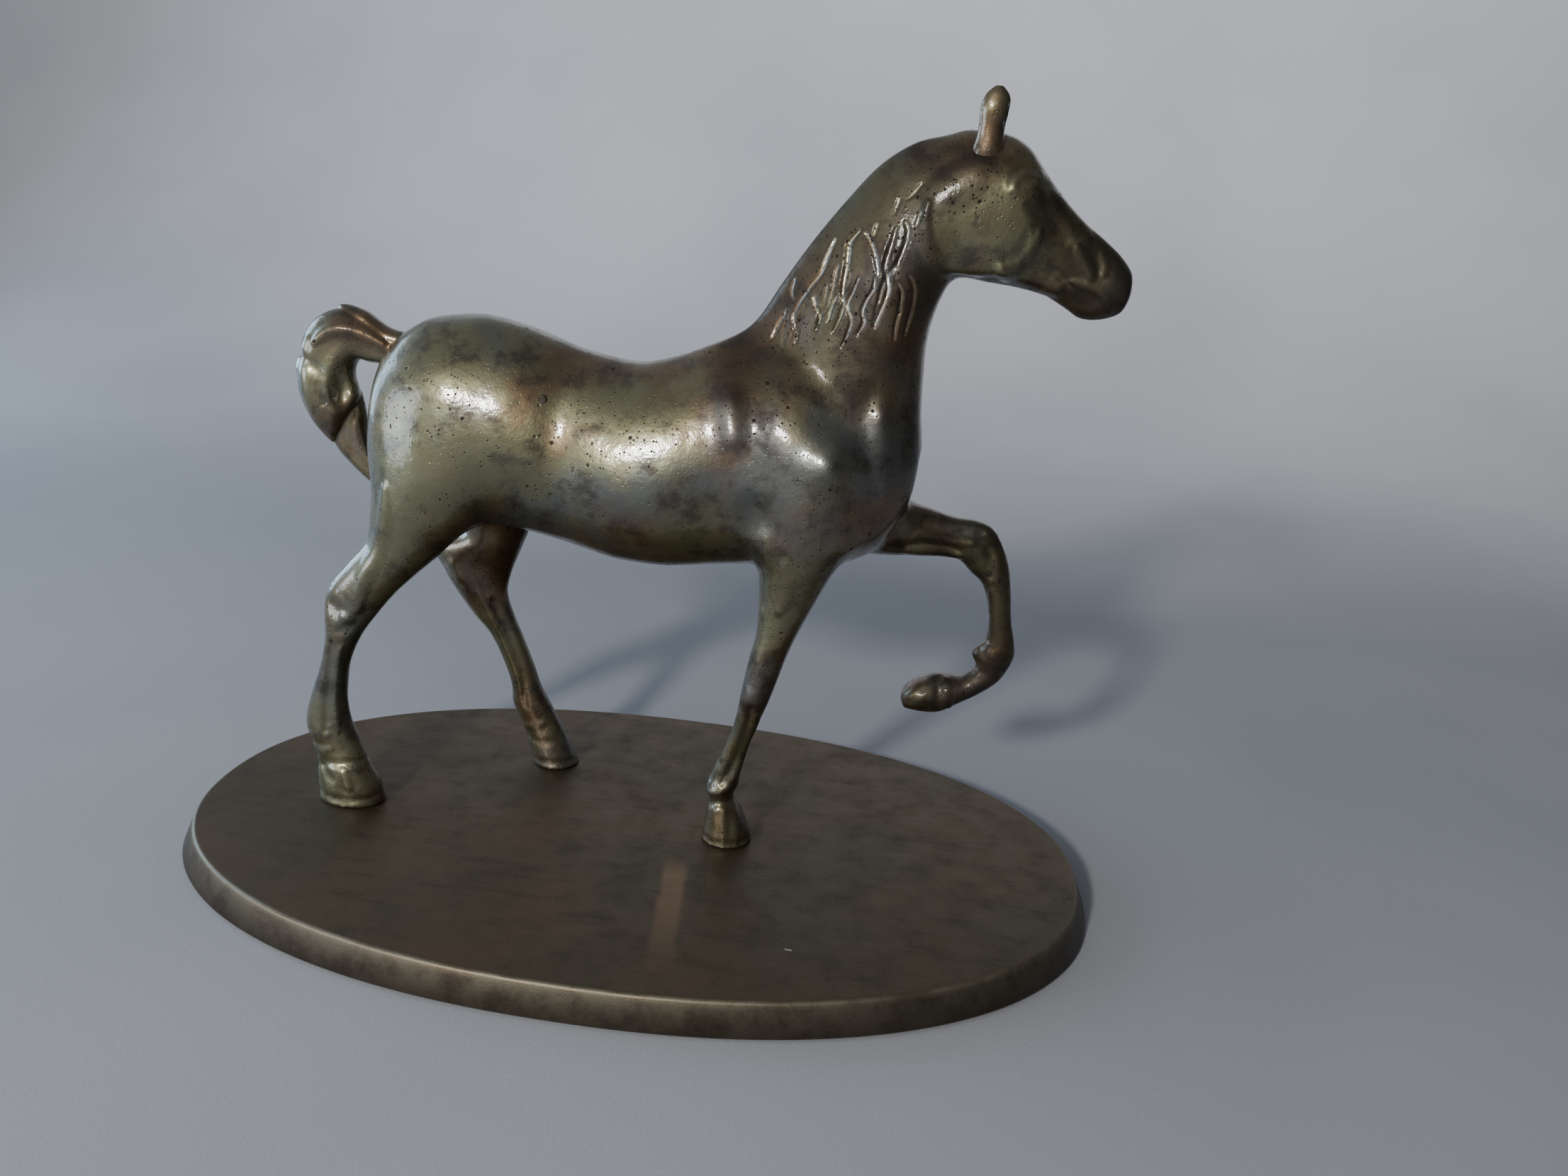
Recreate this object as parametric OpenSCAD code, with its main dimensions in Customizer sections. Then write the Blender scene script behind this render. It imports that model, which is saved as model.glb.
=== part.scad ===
// Cast bronze horse walking on an oval bronze base, its left foreleg raised.
// The horse is cast hollow in sections, pinned and brazed together, and held
// to the base by screws that come up through the base into three hooves.
// Millimetres, +X toward the head, +Z up, origin at the middle of the underside.

/* [Base] */
// Length of the flat oval top
base_length = 280; // [220:5:340]
// Width of the flat oval top
base_width = 172; // [130:2:220]
// Height of the top face above the table
base_height = 10; // [7:0.5:16]
// How far the side flares out from the top edge to the foot
base_flare = 3.5; // [1:0.5:8]
// Squareness of the oval, 2 is a true ellipse
base_squareness = 2.2; // [2:0.1:3]
// Radius of the rounded top edge
base_edge = 1.2; // [0.5:0.1:2]

/* [Horse] */
// Height of the horse from its hooves to its ear tip
horse_height = 228; // [180:2:280]
// How far the horse stands behind the middle of the base
horse_back = 12; // [0:1:25]
// Wall thickness of the hollow castings
wall = 3.5; // [2.5:0.5:5]

/* [Fixings] */
// Thread diameter of the screws that hold the hooves
screw_d = 3; // [2:0.5:4]
// Head diameter of those screws
head_d = 6; // [4:0.5:8]
// Depth each screw goes into its hoof
screw_bite = 7; // [4:0.5:10]
// Diameter of the pins across the brazed seams
pin_d = 3; // [2:0.5:4]
// Diameter of the plugs that close the core holes
plug_d = 2.4; // [1.5:0.1:4]
// Thickness of the felt under the base
felt = 1.5; // [1:0.5:3]

/* [View] */
// Sub-part to draw

/* [Hidden] */
BRONZE = [0.36, 0.32, 0.22];
BASE_BRONZE = [0.33, 0.27, 0.20];
STEEL = [0.62, 0.62, 0.60];
FELT_GREEN = [0.10, 0.22, 0.14];

// The outlines below are drawn for a horse 228 high; k scales them.
k = horse_height / 228;
gap = 0.1;
felt_inset = 9;
felt_sink = 0.8;
head_h = 2.2;
washer_t = 0.6;
washer_d = head_d + 1.5;
bore_d = screw_d + 2 * gap;
// Distance from the table up to the felt recess and the screw head seats
recess_z = felt;
seat_z = recess_z + head_h + washer_t;

// ---- Sections -------------------------------------------------------------
// A limb or trunk is a list of sections. Each section is
// [x, z of its first edge, x, z of its second edge, y of its middle,
//  half width, pinch], seen from the side, with z measured from the hooves.
// Pinch narrows the first edge and widens the second.

// Trunk, rump to breast: first edge on the back, second on the belly
TRUNK = [
    [-85.5, 134, -86, 122, 0, 5, 0],
    [-84.5, 141, -86, 112, 0, 12, 0.1],
    [-81, 147.5, -84.5, 102, 0, 18, 0.12],
    [-72, 153.5, -76, 94, 0, 22.5, 0.15],
    [-56, 157.5, -60, 92, 0, 24.5, 0.18],
    [-40, 155, -42, 92.5, 0, 24, 0.1],
    [-24, 149.5, -26, 90, 0, 24, 0.05],
    [-8, 147.5, -10, 86.5, 0, 25, 0],
    [8, 149, 6, 86, 0, 25, 0.05],
    [23, 154, 22, 88, 0, 24.5, 0.2],
    [38, 152, 38, 90, 0, 23, 0.25],
    [52, 150, 54, 91, 0, 20.5, 0.2],
    [64, 144, 67, 96, 0, 17, 0.1],
    [73, 136, 74.5, 106, 0, 11, 0],
    [77, 128, 77.5, 116, 0, 4, 0]
];

// Neck, shoulders to poll: first edge on the crest, second on the throat
NECK = [
    [2, 145, 66, 104, 0, 18, 0.3],
    [12, 152, 75, 112, 0, 19, 0.35],
    [20.5, 156, 77.5, 122, 0, 18, 0.45],
    [28, 162.5, 78, 134, 0, 15.5, 0.5],
    [34.5, 172.5, 77.5, 148, 0, 13.5, 0.5],
    [42, 184, 77.5, 159, 0, 12.5, 0.5],
    [51, 196, 79, 168, 0, 11.5, 0.45],
    [61, 207.5, 82, 176, 0, 11, 0.4],
    [72.5, 215, 86, 182, 0, 10.5, 0.3],
    [84, 217, 92, 184, 0, 10, 0.2]
];

// Head, poll to lips: first edge on the face, second on the jaw
HEAD = [
    [82, 216, 82, 182, 0, 9, 0.1],
    [91, 217, 90, 178.5, 0, 11, 0],
    [99, 214.5, 98, 176.7, 0, 11.5, 0],
    [106, 206.5, 104, 176, 0, 10.5, -0.1],
    [112, 200, 109, 174.8, 0, 8.8, -0.1],
    [117.5, 195, 114.5, 172, 0, 7.3, -0.1],
    [123, 191, 119, 169.5, 0, 6.8, 0],
    [128, 187, 124.5, 169.5, 0, 6.8, 0],
    [131.3, 183, 129.5, 171.5, 0, 5.5, 0],
    [132, 179, 131.5, 175, 0, 2.5, 0]
];

// Right ear, tip to root: first edge in front, second behind
EAR = [
    [91, 228, 89.5, 228, -6.6, 0.6, 0],
    [93, 225.5, 87.2, 226, -6.8, 1.5, 0],
    [93.5, 222, 85.8, 222.5, -6.8, 2.2, 0],
    [92, 217, 86.5, 217, -6.2, 2.2, 0],
    [92.5, 212, 86.5, 212, -5.4, 2, 0],
    [93, 207, 86, 207, -4.5, 2, 0]
];

// Right hind leg, hip to hoof: first edge in front, second behind
RIGHT_HIND = [
    [-46, 140, -76, 142, -8, 12.5, 0],
    [-42, 124, -80.5, 130, -11.5, 13.5, 0],
    [-42, 110, -83.5, 116, -13, 13.5, 0],
    [-49.5, 98, -84, 103, -14.5, 11.3, 0],
    [-57, 91, -84.5, 95.5, -15.5, 9, 0],
    [-64, 84, -85.5, 88, -16, 7.5, 0],
    [-70, 78.5, -91, 81, -16.5, 6.8, 0],
    [-77, 71.5, -98, 72, -17, 6, 0],
    [-83, 64, -99.5, 64, -17.5, 5.6, 0],
    [-88.5, 56, -99.5, 56, -18, 4.8, 0],
    [-92.5, 46, -101.5, 46, -18.5, 4.2, 0],
    [-93.5, 36, -104.5, 37.5, -19, 4.2, 0],
    [-92.5, 28, -107, 29, -19.3, 4.6, 0],
    [-90.5, 22.5, -107, 23.5, -19.6, 5, 0],
    [-88.5, 17.5, -104.5, 18, -19.8, 4.8, 0],
    [-86.5, 13, -104, 12, -20, 6, 0],
    [-83.5, 7, -104, 5.5, -20, 7, 0],
    [-82, 0, -103.5, 0, -20, 7.8, 0]
];

// Left hind leg, stepped forward under the belly
LEFT_HIND = [
    [-46, 140, -76, 142, 8, 12.5, 0],
    [-40, 124, -80, 130, 12, 13.5, 0],
    [-38, 108, -80, 112, 15, 13.5, 0],
    [-42, 96, -71.5, 97.5, 18, 10.5, 0],
    [-46, 87, -69, 89.5, 19.5, 8, 0],
    [-50, 78, -69, 83, 20.5, 7, 0],
    [-53.5, 69.5, -80.5, 77, 21.5, 6, 0],
    [-55, 62, -76, 67, 22, 5.6, 0],
    [-53, 54, -68, 55, 22.5, 5, 0],
    [-50, 46, -61.5, 47, 23, 4.3, 0],
    [-46.5, 36, -57, 37, 23.5, 4.2, 0],
    [-44, 28, -54.5, 29, 23.8, 4.4, 0],
    [-41, 22, -54, 22, 24, 5, 0],
    [-38.5, 17, -50.5, 13.5, 24, 4.8, 0],
    [-36.5, 13, -49, 9, 24, 5.8, 0],
    [-32.5, 5, -47, 3, 24, 7, 0],
    [-30.5, 0, -46, 0, 24, 7.6, 0]
];

// Right foreleg, shoulder to hoof
RIGHT_FORE = [
    [58, 134, 28, 136, -9, 12.5, 0],
    [65, 120, 30, 118, -11, 13.3, 0],
    [65, 106, 33, 103, -12, 12.5, 0],
    [60, 97, 35, 92, -13, 10, 0],
    [54.5, 86, 35.8, 82, -13.5, 7.5, 0],
    [49.5, 75, 35.8, 71.5, -14, 6.2, 0],
    [46, 66, 34.3, 63.5, -14.2, 5.8, 0],
    [43.6, 58, 33, 56, -14.4, 5.8, 0],
    [41.2, 50, 32, 49, -14.5, 5.2, 0],
    [38, 41, 30.5, 40, -14.6, 4.2, 0],
    [35.5, 33, 28, 32, -14.8, 4, 0],
    [33.8, 26, 25.3, 26, -15, 4.3, 0],
    [33, 20, 22.6, 18.5, -15, 5, 0],
    [31.5, 16, 24, 14.5, -15, 4.8, 0],
    [33, 12.5, 23.5, 11.5, -15, 6, 0],
    [36.5, 5.5, 22.5, 5, -15, 7, 0],
    [38, 0, 22, 0, -15, 7.8, 0]
];

// Left foreleg, raised, shoulder to sole: first edge on the outside of the bend
LEFT_FORE = [
    [58, 132, 30, 126, 9, 12.5, 0],
    [68, 120, 42, 104, 11, 13, 0],
    [76, 110.5, 58, 93, 13, 10.5, 0],
    [84, 107.5, 70, 91.5, 14.5, 8.2, 0],
    [91, 105.5, 80, 92, 15.5, 6.8, 0],
    [97, 105, 88, 92.8, 16, 6, 0],
    [102, 103.5, 93.5, 92, 16, 6, 0],
    [105.5, 99.5, 97.5, 88.5, 16, 5.8, 0],
    [109, 92, 101.5, 85, 16, 5.2, 0],
    [110.8, 83, 104, 78.5, 16, 4.4, 0],
    [112, 74, 105, 72, 16, 4.2, 0],
    [113.8, 66.5, 104.5, 66.5, 16, 4.5, 0],
    [114, 61, 101, 62, 16, 5, 0],
    [110.5, 53.5, 102.5, 57.5, 16, 4.6, 0],
    [105, 48.5, 98.5, 53.5, 16, 4.6, 0],
    [100, 45.2, 95, 53.5, 16, 5.6, 0],
    [92, 40.5, 90, 53.3, 16, 6.6, 0],
    [81.5, 40.5, 87, 52, 16, 7, 0]
];

// Tail, tip to dock: first edge on the outside of the curl
TAIL = [
    [-86, 99.5, -82, 104.5, 0, 2, 0],
    [-92, 102, -87, 107, 0, 3.2, 0],
    [-98, 107, -90, 110.5, 0, 4.2, 0],
    [-104, 113, -91.5, 114, 0, 5.2, 0],
    [-109.5, 119.5, -92.5, 118.5, 0, 6, 0],
    [-113, 129, -93.5, 124, 0, 6.5, 0],
    [-113.5, 137, -94.5, 129, 0, 7, 0],
    [-111.5, 145.5, -95.5, 134, 0, 7, 0],
    [-106.5, 152, -95.5, 137.5, 0, 7, 0],
    [-98.5, 155.5, -93.5, 140, 0, 6.5, 0],
    [-90, 153.5, -90, 139.5, 0, 5.5, 0],
    [-81.5, 148, -84, 139.5, 0, 4.5, 0],
    [-74, 152, -78, 141, 0, 4.5, 0]
];

// ---- Seams and fixings ------------------------------------------------------
HIND_SEAM_Z = 88;
FORE_SEAM_Z = 84;
RAISED_SEAM_X = 80;
NECK_SEAM = [22, 157];
NECK_SEAM_TILT = 28;

HOOVES = [[-93, -20], [-38.5, 24], [30, -15]];
// Pins across the seams, as [x, y, z, tilt forward from upright]
LEG_PINS = [[-72, -15.8, HIND_SEAM_Z, 0], [-60, 19, HIND_SEAM_Z, 0],
            [46, -13.5, FORE_SEAM_Z, 0], [RAISED_SEAM_X, 14, 100, 90]];
NECK_PINS = [[28, 0, 152.3, NECK_SEAM_TILT], [74, 0, 127.8, NECK_SEAM_TILT]];
PIN_LENGTH = 12;
TAIL_PIN = [-84, 0, 144, -75];
// Outer ends of the core plugs on both flanks, as [x, y, z]
CORE_PLUGS = [[-29.5, -19.2, 136.5], [-65, -25.8, 107],
              [-29.5, 19.2, 136.5], [-60, 27.4, 107]];
PLUG_LENGTH = 6;

// ---- Lofting ----------------------------------------------------------------
// Point t of the way from b to c on a smooth curve through a, b, c and d
function blend(a, b, c, d, t) =
    0.5 * (2 * b + (c - a) * t + (2 * a - 5 * b + 4 * c - d) * t * t
           + (3 * b - a - 3 * c + d) * t * t * t);

// The sections with extra ones between them, so the form flows
function smooth(list, steps) =
    let (last = len(list) - 1)
    [for (i = [0 : last - 1], j = [0 : steps - 1])
        blend(list[max(i - 1, 0)], list[i], list[i + 1],
              list[min(i + 2, last)], j / steps),
     list[last]];

// The ring of points around one section
function ring(s, sides) =
    [for (i = [0 : sides - 1])
        let (a = 360 * i / sides, c = cos(a), w = sin(a) * (1 - s[6] * c))
        [(s[0] + s[2] + (s[0] - s[2]) * c) / 2,
         s[4] + s[5] * w,
         (s[1] + s[3] + (s[1] - s[3]) * c) / 2] * k];

// A solid through every section, grown by grow on every edge
module loft(list, sides = 18, steps = 2, grow = 0) {
    full = smooth([for (s = list) grown(s, grow)], steps);
    n = len(full);
    points = [for (s = full) each ring(s, sides)];
    walls = [for (i = [0 : n - 2], j = [0 : sides - 1])
        let (a = i * sides + j, b = i * sides + (j + 1) % sides)
        each [[a, b, a + sides], [b, b + sides, a + sides]]];
    ends = [[for (j = [sides - 1 : -1 : 0]) j],
            [for (j = [0 : sides - 1]) (n - 1) * sides + j]];
    polyhedron(points, concat(walls, ends), convexity = 6);
}

// One section with its two edges and its width moved out by g
function grown(s, g) =
    let (d = [s[0] - s[2], s[1] - s[3]], u = d / norm(d) * g)
    [s[0] + u[0], s[1] + u[1], s[2] - u[0], s[3] - u[1], s[4], s[5] + g, s[6]];

// The middle sections of a list, for the hollow inside it
function inner(list, first, last) = [for (i = [first : last]) list[i]];

// ---- The whole form, before it is cut into castings -------------------------
module trunk_form() {
    loft(TRUNK, sides = 32);
    loft(RIGHT_HIND);
    loft(LEFT_HIND);
    loft(RIGHT_FORE);
    loft(LEFT_FORE);
}

module neck_form() {
    loft(NECK, sides = 28);
    loft(HEAD, sides = 24);
    // Round cheeks
    for (side = [-1, 1])
        translate([88.3, side * 7, 192.3] * k)
            scale([13.6, 6.2, 13.6] * k)
                sphere(1, $fn = 36);
}

// The room inside the trunk and the lower neck
module hollow() {
    loft(inner(TRUNK, 3, 12), sides = 20, steps = 1, grow = -wall * 1.6);
    loft(inner(NECK, 1, 7), sides = 18, steps = 1, grow = -wall);
}

// Everything on the head's side of the neck seam
module above_neck_seam(shift = 0) {
    translate([NECK_SEAM[0], 0, NECK_SEAM[1]] * k)
        rotate([0, NECK_SEAM_TILT, 0])
            translate([-60, -60, shift] * k)
                cube([260, 120, 160] * k);
}

// Room of each leg below its seam
module hind_room(side) {
    translate([-130, side > 0 ? 0 : -60, -1] * k)
        cube([130, 60, HIND_SEAM_Z + 1] * k);
}

module right_fore_room() {
    translate([0, -60, -1] * k)
        cube([78, 60, FORE_SEAM_Z + 1] * k);
}

module left_fore_room() {
    translate([RAISED_SEAM_X, 0, 0] * k)
        cube([60, 60, 130] * k);
}

module on_base() {
    translate([0, horse_back, base_height])
        children();
}

// Joins the lofts below it into one faceted body
module cast() {
    resize([0, 0, 0])
        children();
}

module pin(at, extra = 0) {
    translate([at[0], at[1], at[2]] * k)
        rotate([0, at[3], 0])
            cylinder(h = PIN_LENGTH + 2 * extra, d = pin_d + 2 * extra,
                     center = true, $fn = 24);
}

// A core plug, or with some extra the open hole that it fills
module plug(at, extra = 0) {
    out = sign(at[1]);
    length = PLUG_LENGTH + (extra > 0 ? 4 : 0);
    translate([at[0], at[1] - out * PLUG_LENGTH, at[2]] * k)
        rotate([-90 * out, 0, 0])
            cylinder(h = length, d = plug_d + 2 * extra, $fn = 24);
}

// ---- Castings ---------------------------------------------------------------
module torso() {
    color(BRONZE)
        on_base()
            cast()
                difference() {
                    union() {
                        trunk_form();
                        neck_form();
                    }
                    hollow();
                    above_neck_seam();
                    hind_room(-1);
                    hind_room(1);
                    right_fore_room();
                    left_fore_room();
                    for (at = LEG_PINS)
                        pin(at, gap);
                    for (at = NECK_PINS)
                        pin(at, gap);
                    pin(TAIL_PIN, gap);
                    for (at = CORE_PLUGS)
                        plug(at, gap);
                }
}

module neck_and_head() {
    color(BRONZE)
        on_base()
            cast()
                difference() {
                    intersection() {
                        union() {
                            trunk_form();
                            neck_form();
                        }
                        above_neck_seam();
                    }
                    hollow();
                    left_fore_room();
                    for (at = NECK_PINS)
                        pin(at, gap);
                }
}

module ear(side) {
    color(BRONZE)
        on_base()
            cast()
                difference() {
                    scale([1, side, 1])
                        loft(EAR, sides = 16, steps = 3);
                    neck_form();
                }
}

module right_ear() {
    ear(1);
}

module left_ear() {
    ear(-1);
}

module right_foreleg() {
    color(BRONZE)
        on_base()
            cast()
                difference() {
                    intersection() {
                        loft(RIGHT_FORE);
                        right_fore_room();
                    }
                    pin(LEG_PINS[2], gap);
                    hoof_bores();
                }
}

module left_foreleg() {
    color(BRONZE)
        on_base()
            cast()
                difference() {
                    intersection() {
                        loft(LEFT_FORE);
                        left_fore_room();
                    }
                    pin(LEG_PINS[3], gap);
                }
}

module right_hindleg() {
    color(BRONZE)
        on_base()
            cast()
                difference() {
                    intersection() {
                        loft(RIGHT_HIND);
                        hind_room(-1);
                    }
                    pin(LEG_PINS[0], gap);
                    hoof_bores();
                }
}

module left_hindleg() {
    color(BRONZE)
        on_base()
            cast()
                difference() {
                    intersection() {
                        loft(LEFT_HIND);
                        hind_room(1);
                    }
                    pin(LEG_PINS[1], gap);
                    hoof_bores();
                }
}

module tail() {
    color(BRONZE)
        on_base()
            cast()
                difference() {
                    loft(TAIL, sides = 18);
                    trunk_form();
                    pin(TAIL_PIN, gap);
                }
}

// ---- Base -------------------------------------------------------------------
// Outline of the oval, reaching out past the top edge by grow
function oval(grow, sides = 96) =
    let (e = 2 / base_squareness, a = base_length / 2 + grow, b = base_width / 2 + grow)
    [for (i = [0 : sides - 1])
        let (c = cos(360 * i / sides), s = sin(360 * i / sides))
        [a * sign(c) * pow(abs(c), e), b * sign(s) * pow(abs(s), e)]];

// A solid through ovals at several heights, as [grow, z]
module oval_stack(levels, sides = 96) {
    n = len(levels);
    points = [for (l = levels) each [for (p = oval(l[0], sides)) [p[0], p[1], l[1]]]];
    walls = [for (i = [0 : n - 2], j = [0 : sides - 1])
        let (a = i * sides + j, b = i * sides + (j + 1) % sides)
        each [[a, a + sides, b], [b, a + sides, b + sides]]];
    ends = [[for (j = [0 : sides - 1]) j],
            [for (j = [sides - 1 : -1 : 0]) (n - 1) * sides + j]];
    polyhedron(points, concat(walls, ends), convexity = 4);
}

module at_hooves() {
    for (at = HOOVES)
        translate([at[0] * k, at[1] * k + horse_back, 0])
            children();
}

// Blind bores in the soles, in the horse's own place
module hoof_bores() {
    for (at = HOOVES)
        translate([at[0] * k, at[1] * k, -1])
            cylinder(h = screw_bite + 1.6, d = bore_d, $fn = 24);
}

module base_plate() {
    foot = felt - felt_sink;
    color(BASE_BRONZE)
        difference() {
            oval_stack([
                [base_flare - 0.5, foot],
                [base_flare, foot + 0.6],
                [base_flare * 0.9, base_height - 3 * base_edge],
                [base_edge * 0.9, base_height - base_edge],
                [base_edge * 0.45, base_height - base_edge * 0.35],
                [-base_edge * 0.2, base_height]
            ]);
            translate([0, 0, foot - 1])
                linear_extrude(recess_z - foot + 1)
                    polygon(oval(-felt_inset + 0.3));
            at_hooves() {
                cylinder(h = base_height + 1, d = bore_d, $fn = 32);
                cylinder(h = seat_z, d = washer_d + 0.6, $fn = 32);
            }
        }
}

module base_felt() {
    color(FELT_GREEN)
        linear_extrude(felt)
            polygon(oval(-felt_inset));
}

module hoof_screws() {
    color(STEEL)
        at_hooves() {
            translate([0, 0, seat_z - washer_t - head_h])
                difference() {
                    cylinder(h = head_h, d = head_d, $fn = 32);
                    // Driver slot
                    translate([-head_d / 2 - 1, -0.4, -1])
                        cube([head_d + 2, 0.8, 1.9]);
                }
            translate([0, 0, seat_z - washer_t])
                cylinder(h = base_height + screw_bite - seat_z + washer_t,
                         d = screw_d, $fn = 32);
        }
}

module hoof_washers() {
    color(STEEL)
        at_hooves()
            translate([0, 0, seat_z - washer_t])
                difference() {
                    cylinder(h = washer_t, d = washer_d, $fn = 32);
                    translate([0, 0, -1])
                        cylinder(h = washer_t + 2, d = bore_d, $fn = 32);
                }
}

// ---- Pins and plugs ---------------------------------------------------------
module leg_pins() {
    color(STEEL)
        on_base()
            for (at = LEG_PINS)
                pin(at);
}

module neck_pins() {
    color(STEEL)
        on_base()
            for (at = NECK_PINS)
                pin(at);
}

module tail_pin() {
    color(STEEL)
        on_base()
            pin(TAIL_PIN);
}

module core_plugs() {
    color(BRONZE)
        on_base()
            for (at = CORE_PLUGS)
                plug(at);
}

base_plate();
base_felt();
torso();
neck_and_head();
right_ear();
left_ear();
right_foreleg();
left_foreleg();
right_hindleg();
left_hindleg();
tail();
hoof_screws();
hoof_washers();
leg_pins();
neck_pins();
tail_pin();
core_plugs();
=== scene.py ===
"""A cast bronze horse on an oval bronze base, its left foreleg raised.

The horse's skin is a signed distance field in millimetres: lofts through side-view
sections are joined with soft blends, turned into a fine mesh, and worked over with
modelling strokes for the face, mane, legs and tail. The mesh is then cut at the same
seams as the castings in the CAD frame, one piece for each node.
"""

import math

import bmesh
import bpy
import numpy as np
import openvdb
from mathutils import Matrix, Vector


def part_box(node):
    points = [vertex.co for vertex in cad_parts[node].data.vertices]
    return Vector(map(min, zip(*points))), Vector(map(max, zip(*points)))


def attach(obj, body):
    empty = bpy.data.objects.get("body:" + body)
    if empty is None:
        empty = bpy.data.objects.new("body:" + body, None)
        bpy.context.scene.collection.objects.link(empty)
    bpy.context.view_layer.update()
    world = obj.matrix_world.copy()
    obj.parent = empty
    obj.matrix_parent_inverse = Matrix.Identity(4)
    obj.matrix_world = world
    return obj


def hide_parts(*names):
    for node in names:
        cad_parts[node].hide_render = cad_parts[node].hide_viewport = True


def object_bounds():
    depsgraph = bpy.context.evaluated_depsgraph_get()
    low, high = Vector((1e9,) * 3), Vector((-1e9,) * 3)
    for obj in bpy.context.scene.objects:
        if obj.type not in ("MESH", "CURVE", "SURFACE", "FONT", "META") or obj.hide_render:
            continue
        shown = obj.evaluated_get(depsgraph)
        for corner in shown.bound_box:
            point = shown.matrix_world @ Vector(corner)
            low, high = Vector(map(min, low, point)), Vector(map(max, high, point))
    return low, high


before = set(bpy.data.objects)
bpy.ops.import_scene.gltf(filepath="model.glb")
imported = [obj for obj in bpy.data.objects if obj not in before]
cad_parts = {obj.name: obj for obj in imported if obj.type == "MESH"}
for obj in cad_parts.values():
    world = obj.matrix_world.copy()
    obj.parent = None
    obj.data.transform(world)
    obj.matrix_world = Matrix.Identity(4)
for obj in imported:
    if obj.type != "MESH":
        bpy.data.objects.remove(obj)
cad_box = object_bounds()

# ---- The frame the horse stands in ----
# The forms below are drawn in millimetres for a horse 228 high, with z measured
# from its hooves and y from its middle.
DRAWN_HEIGHT = 228.0
plate_low, plate_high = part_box("base_plate")
head_low, head_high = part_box("neck_and_head")
felt_low, felt_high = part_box("base_felt")
GROUND = plate_high[2]
MIDDLE = (head_low[1] + head_high[1]) / 2
SCALE = (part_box("right_ear")[1][2] - GROUND) / DRAWN_HEIGHT


def to_frame(points):
    """Points in the horse's millimetres, as metres in the CAD frame."""
    return np.asarray(points, float) * SCALE + (0.0, MIDDLE, GROUND)


# ---- Sections ----
# Each section is (x, z of its first edge, x, z of its second edge, y of its middle,
# half width, pinch), seen from the side. Pinch narrows the first edge, and is 0 where
# it is left out.
TRUNK = [
    (-85.5, 134, -86, 122, 0, 5),
    (-84.5, 141, -86, 112, 0, 12),
    (-81, 147.5, -84.5, 102, 0, 18),
    (-72, 153.5, -76, 94, 0, 21.8),
    (-56, 157, -60, 92, 0, 24.4, 0.04),
    (-42, 155, -44, 92.8, 0, 24.5, 0.06),
    (-32, 152, -34, 91.5, 0, 23.6, 0.08),
    (-24, 149.5, -26, 90, 0, 22.4, 0.12),
    (-16, 148, -18, 88.2, 0, 23.8, 0.14),
    (-6, 147, -8, 86.4, 0, 25.1, 0.16),
    (8, 148.5, 6, 86, 0, 25, 0.14),
    (23, 153, 22, 88, 0, 22.8, 0.12),
    (38, 152, 38, 90, 0, 22, 0.18),
    (52, 150, 54, 91, 0, 20.5, 0.16),
    (64, 144, 67, 96, 0, 17, 0.1),
    (73, 136, 74.5, 106, 0, 11),
    (77, 128, 77.5, 116, 0, 4),
]
NECK = [
    (2, 145, 66, 104, 0, 16, 0.3),
    (12, 151, 75, 112, 0, 15.2, 0.35),
    (20.5, 155.5, 77.5, 122, 0, 14.2, 0.35),
    (28, 162, 78, 134, 0, 13.2, 0.4),
    (34.5, 172.5, 77.5, 148, 0, 12.8, 0.4),
    (42, 184, 77.5, 159, 0, 12.6, 0.4),
    (51, 196, 79, 168, 0, 12.3, 0.36),
    (61, 207.5, 82, 176, 0, 11.5, 0.33),
    (72.5, 214.5, 86, 182, 0, 10.5, 0.3),
    (84, 216.5, 92, 184, 0, 10, 0.2),
]
HEAD = [
    (82, 216, 82, 182, 0, 9, 0.1),
    (91, 217, 90, 178.5, 0, 11),
    (99, 214.5, 98, 176.7, 0, 11, -0.05),
    (106, 206.5, 104, 176, 0, 9.6, -0.2),
    (112, 200, 109, 174.8, 0, 8.2, -0.25),
    (117.5, 195, 114.5, 172, 0, 7.3, -0.1),
    (123, 191, 119, 169.5, 0, 6.8),
    (128, 187, 124.5, 169.5, 0, 6.8),
    (131.3, 183, 129.5, 171.5, 0, 5.6),
    (132, 179.5, 131.5, 175, 0, 2.8),
]
RIGHT_HIND = [
    (-52, 152, -70, 153, -5, 5),
    (-46, 140, -76, 142, -8, 12.5),
    (-42, 124, -80.5, 130, -11.5, 12.6),
    (-42, 110, -83.5, 116, -13, 13.5),
    (-49.5, 98, -84, 103, -14.5, 11.3),
    (-57, 91, -84.5, 95.5, -15.5, 9),
    (-64, 84, -85.5, 88, -16, 7.5),
    (-70, 78.5, -91, 81, -16.5, 6.8),
    (-77, 71.5, -98, 72, -17, 6),
    (-83, 64, -99.5, 64, -17.5, 5.6),
    (-88.5, 56, -99.5, 56, -17.8, 4.8),
    (-92.5, 46, -101.5, 46, -17.9, 4.2),
    (-93.5, 36, -104.5, 37.5, -18, 4.2),
    (-92.5, 28, -107, 29, -18, 4.6),
    (-90.5, 22.5, -107, 23.5, -18, 5),
    (-88.5, 17.5, -104.5, 18, -18, 4.8),
    (-86.5, 13, -104, 12, -18, 6),
    (-83.5, 7, -104, 5.5, -17.8, 7),
    (-82, 0, -103.5, 0, -17.8, 7.8),
    (-81, -4, -103.5, -4, -17.8, 8),
]
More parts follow.
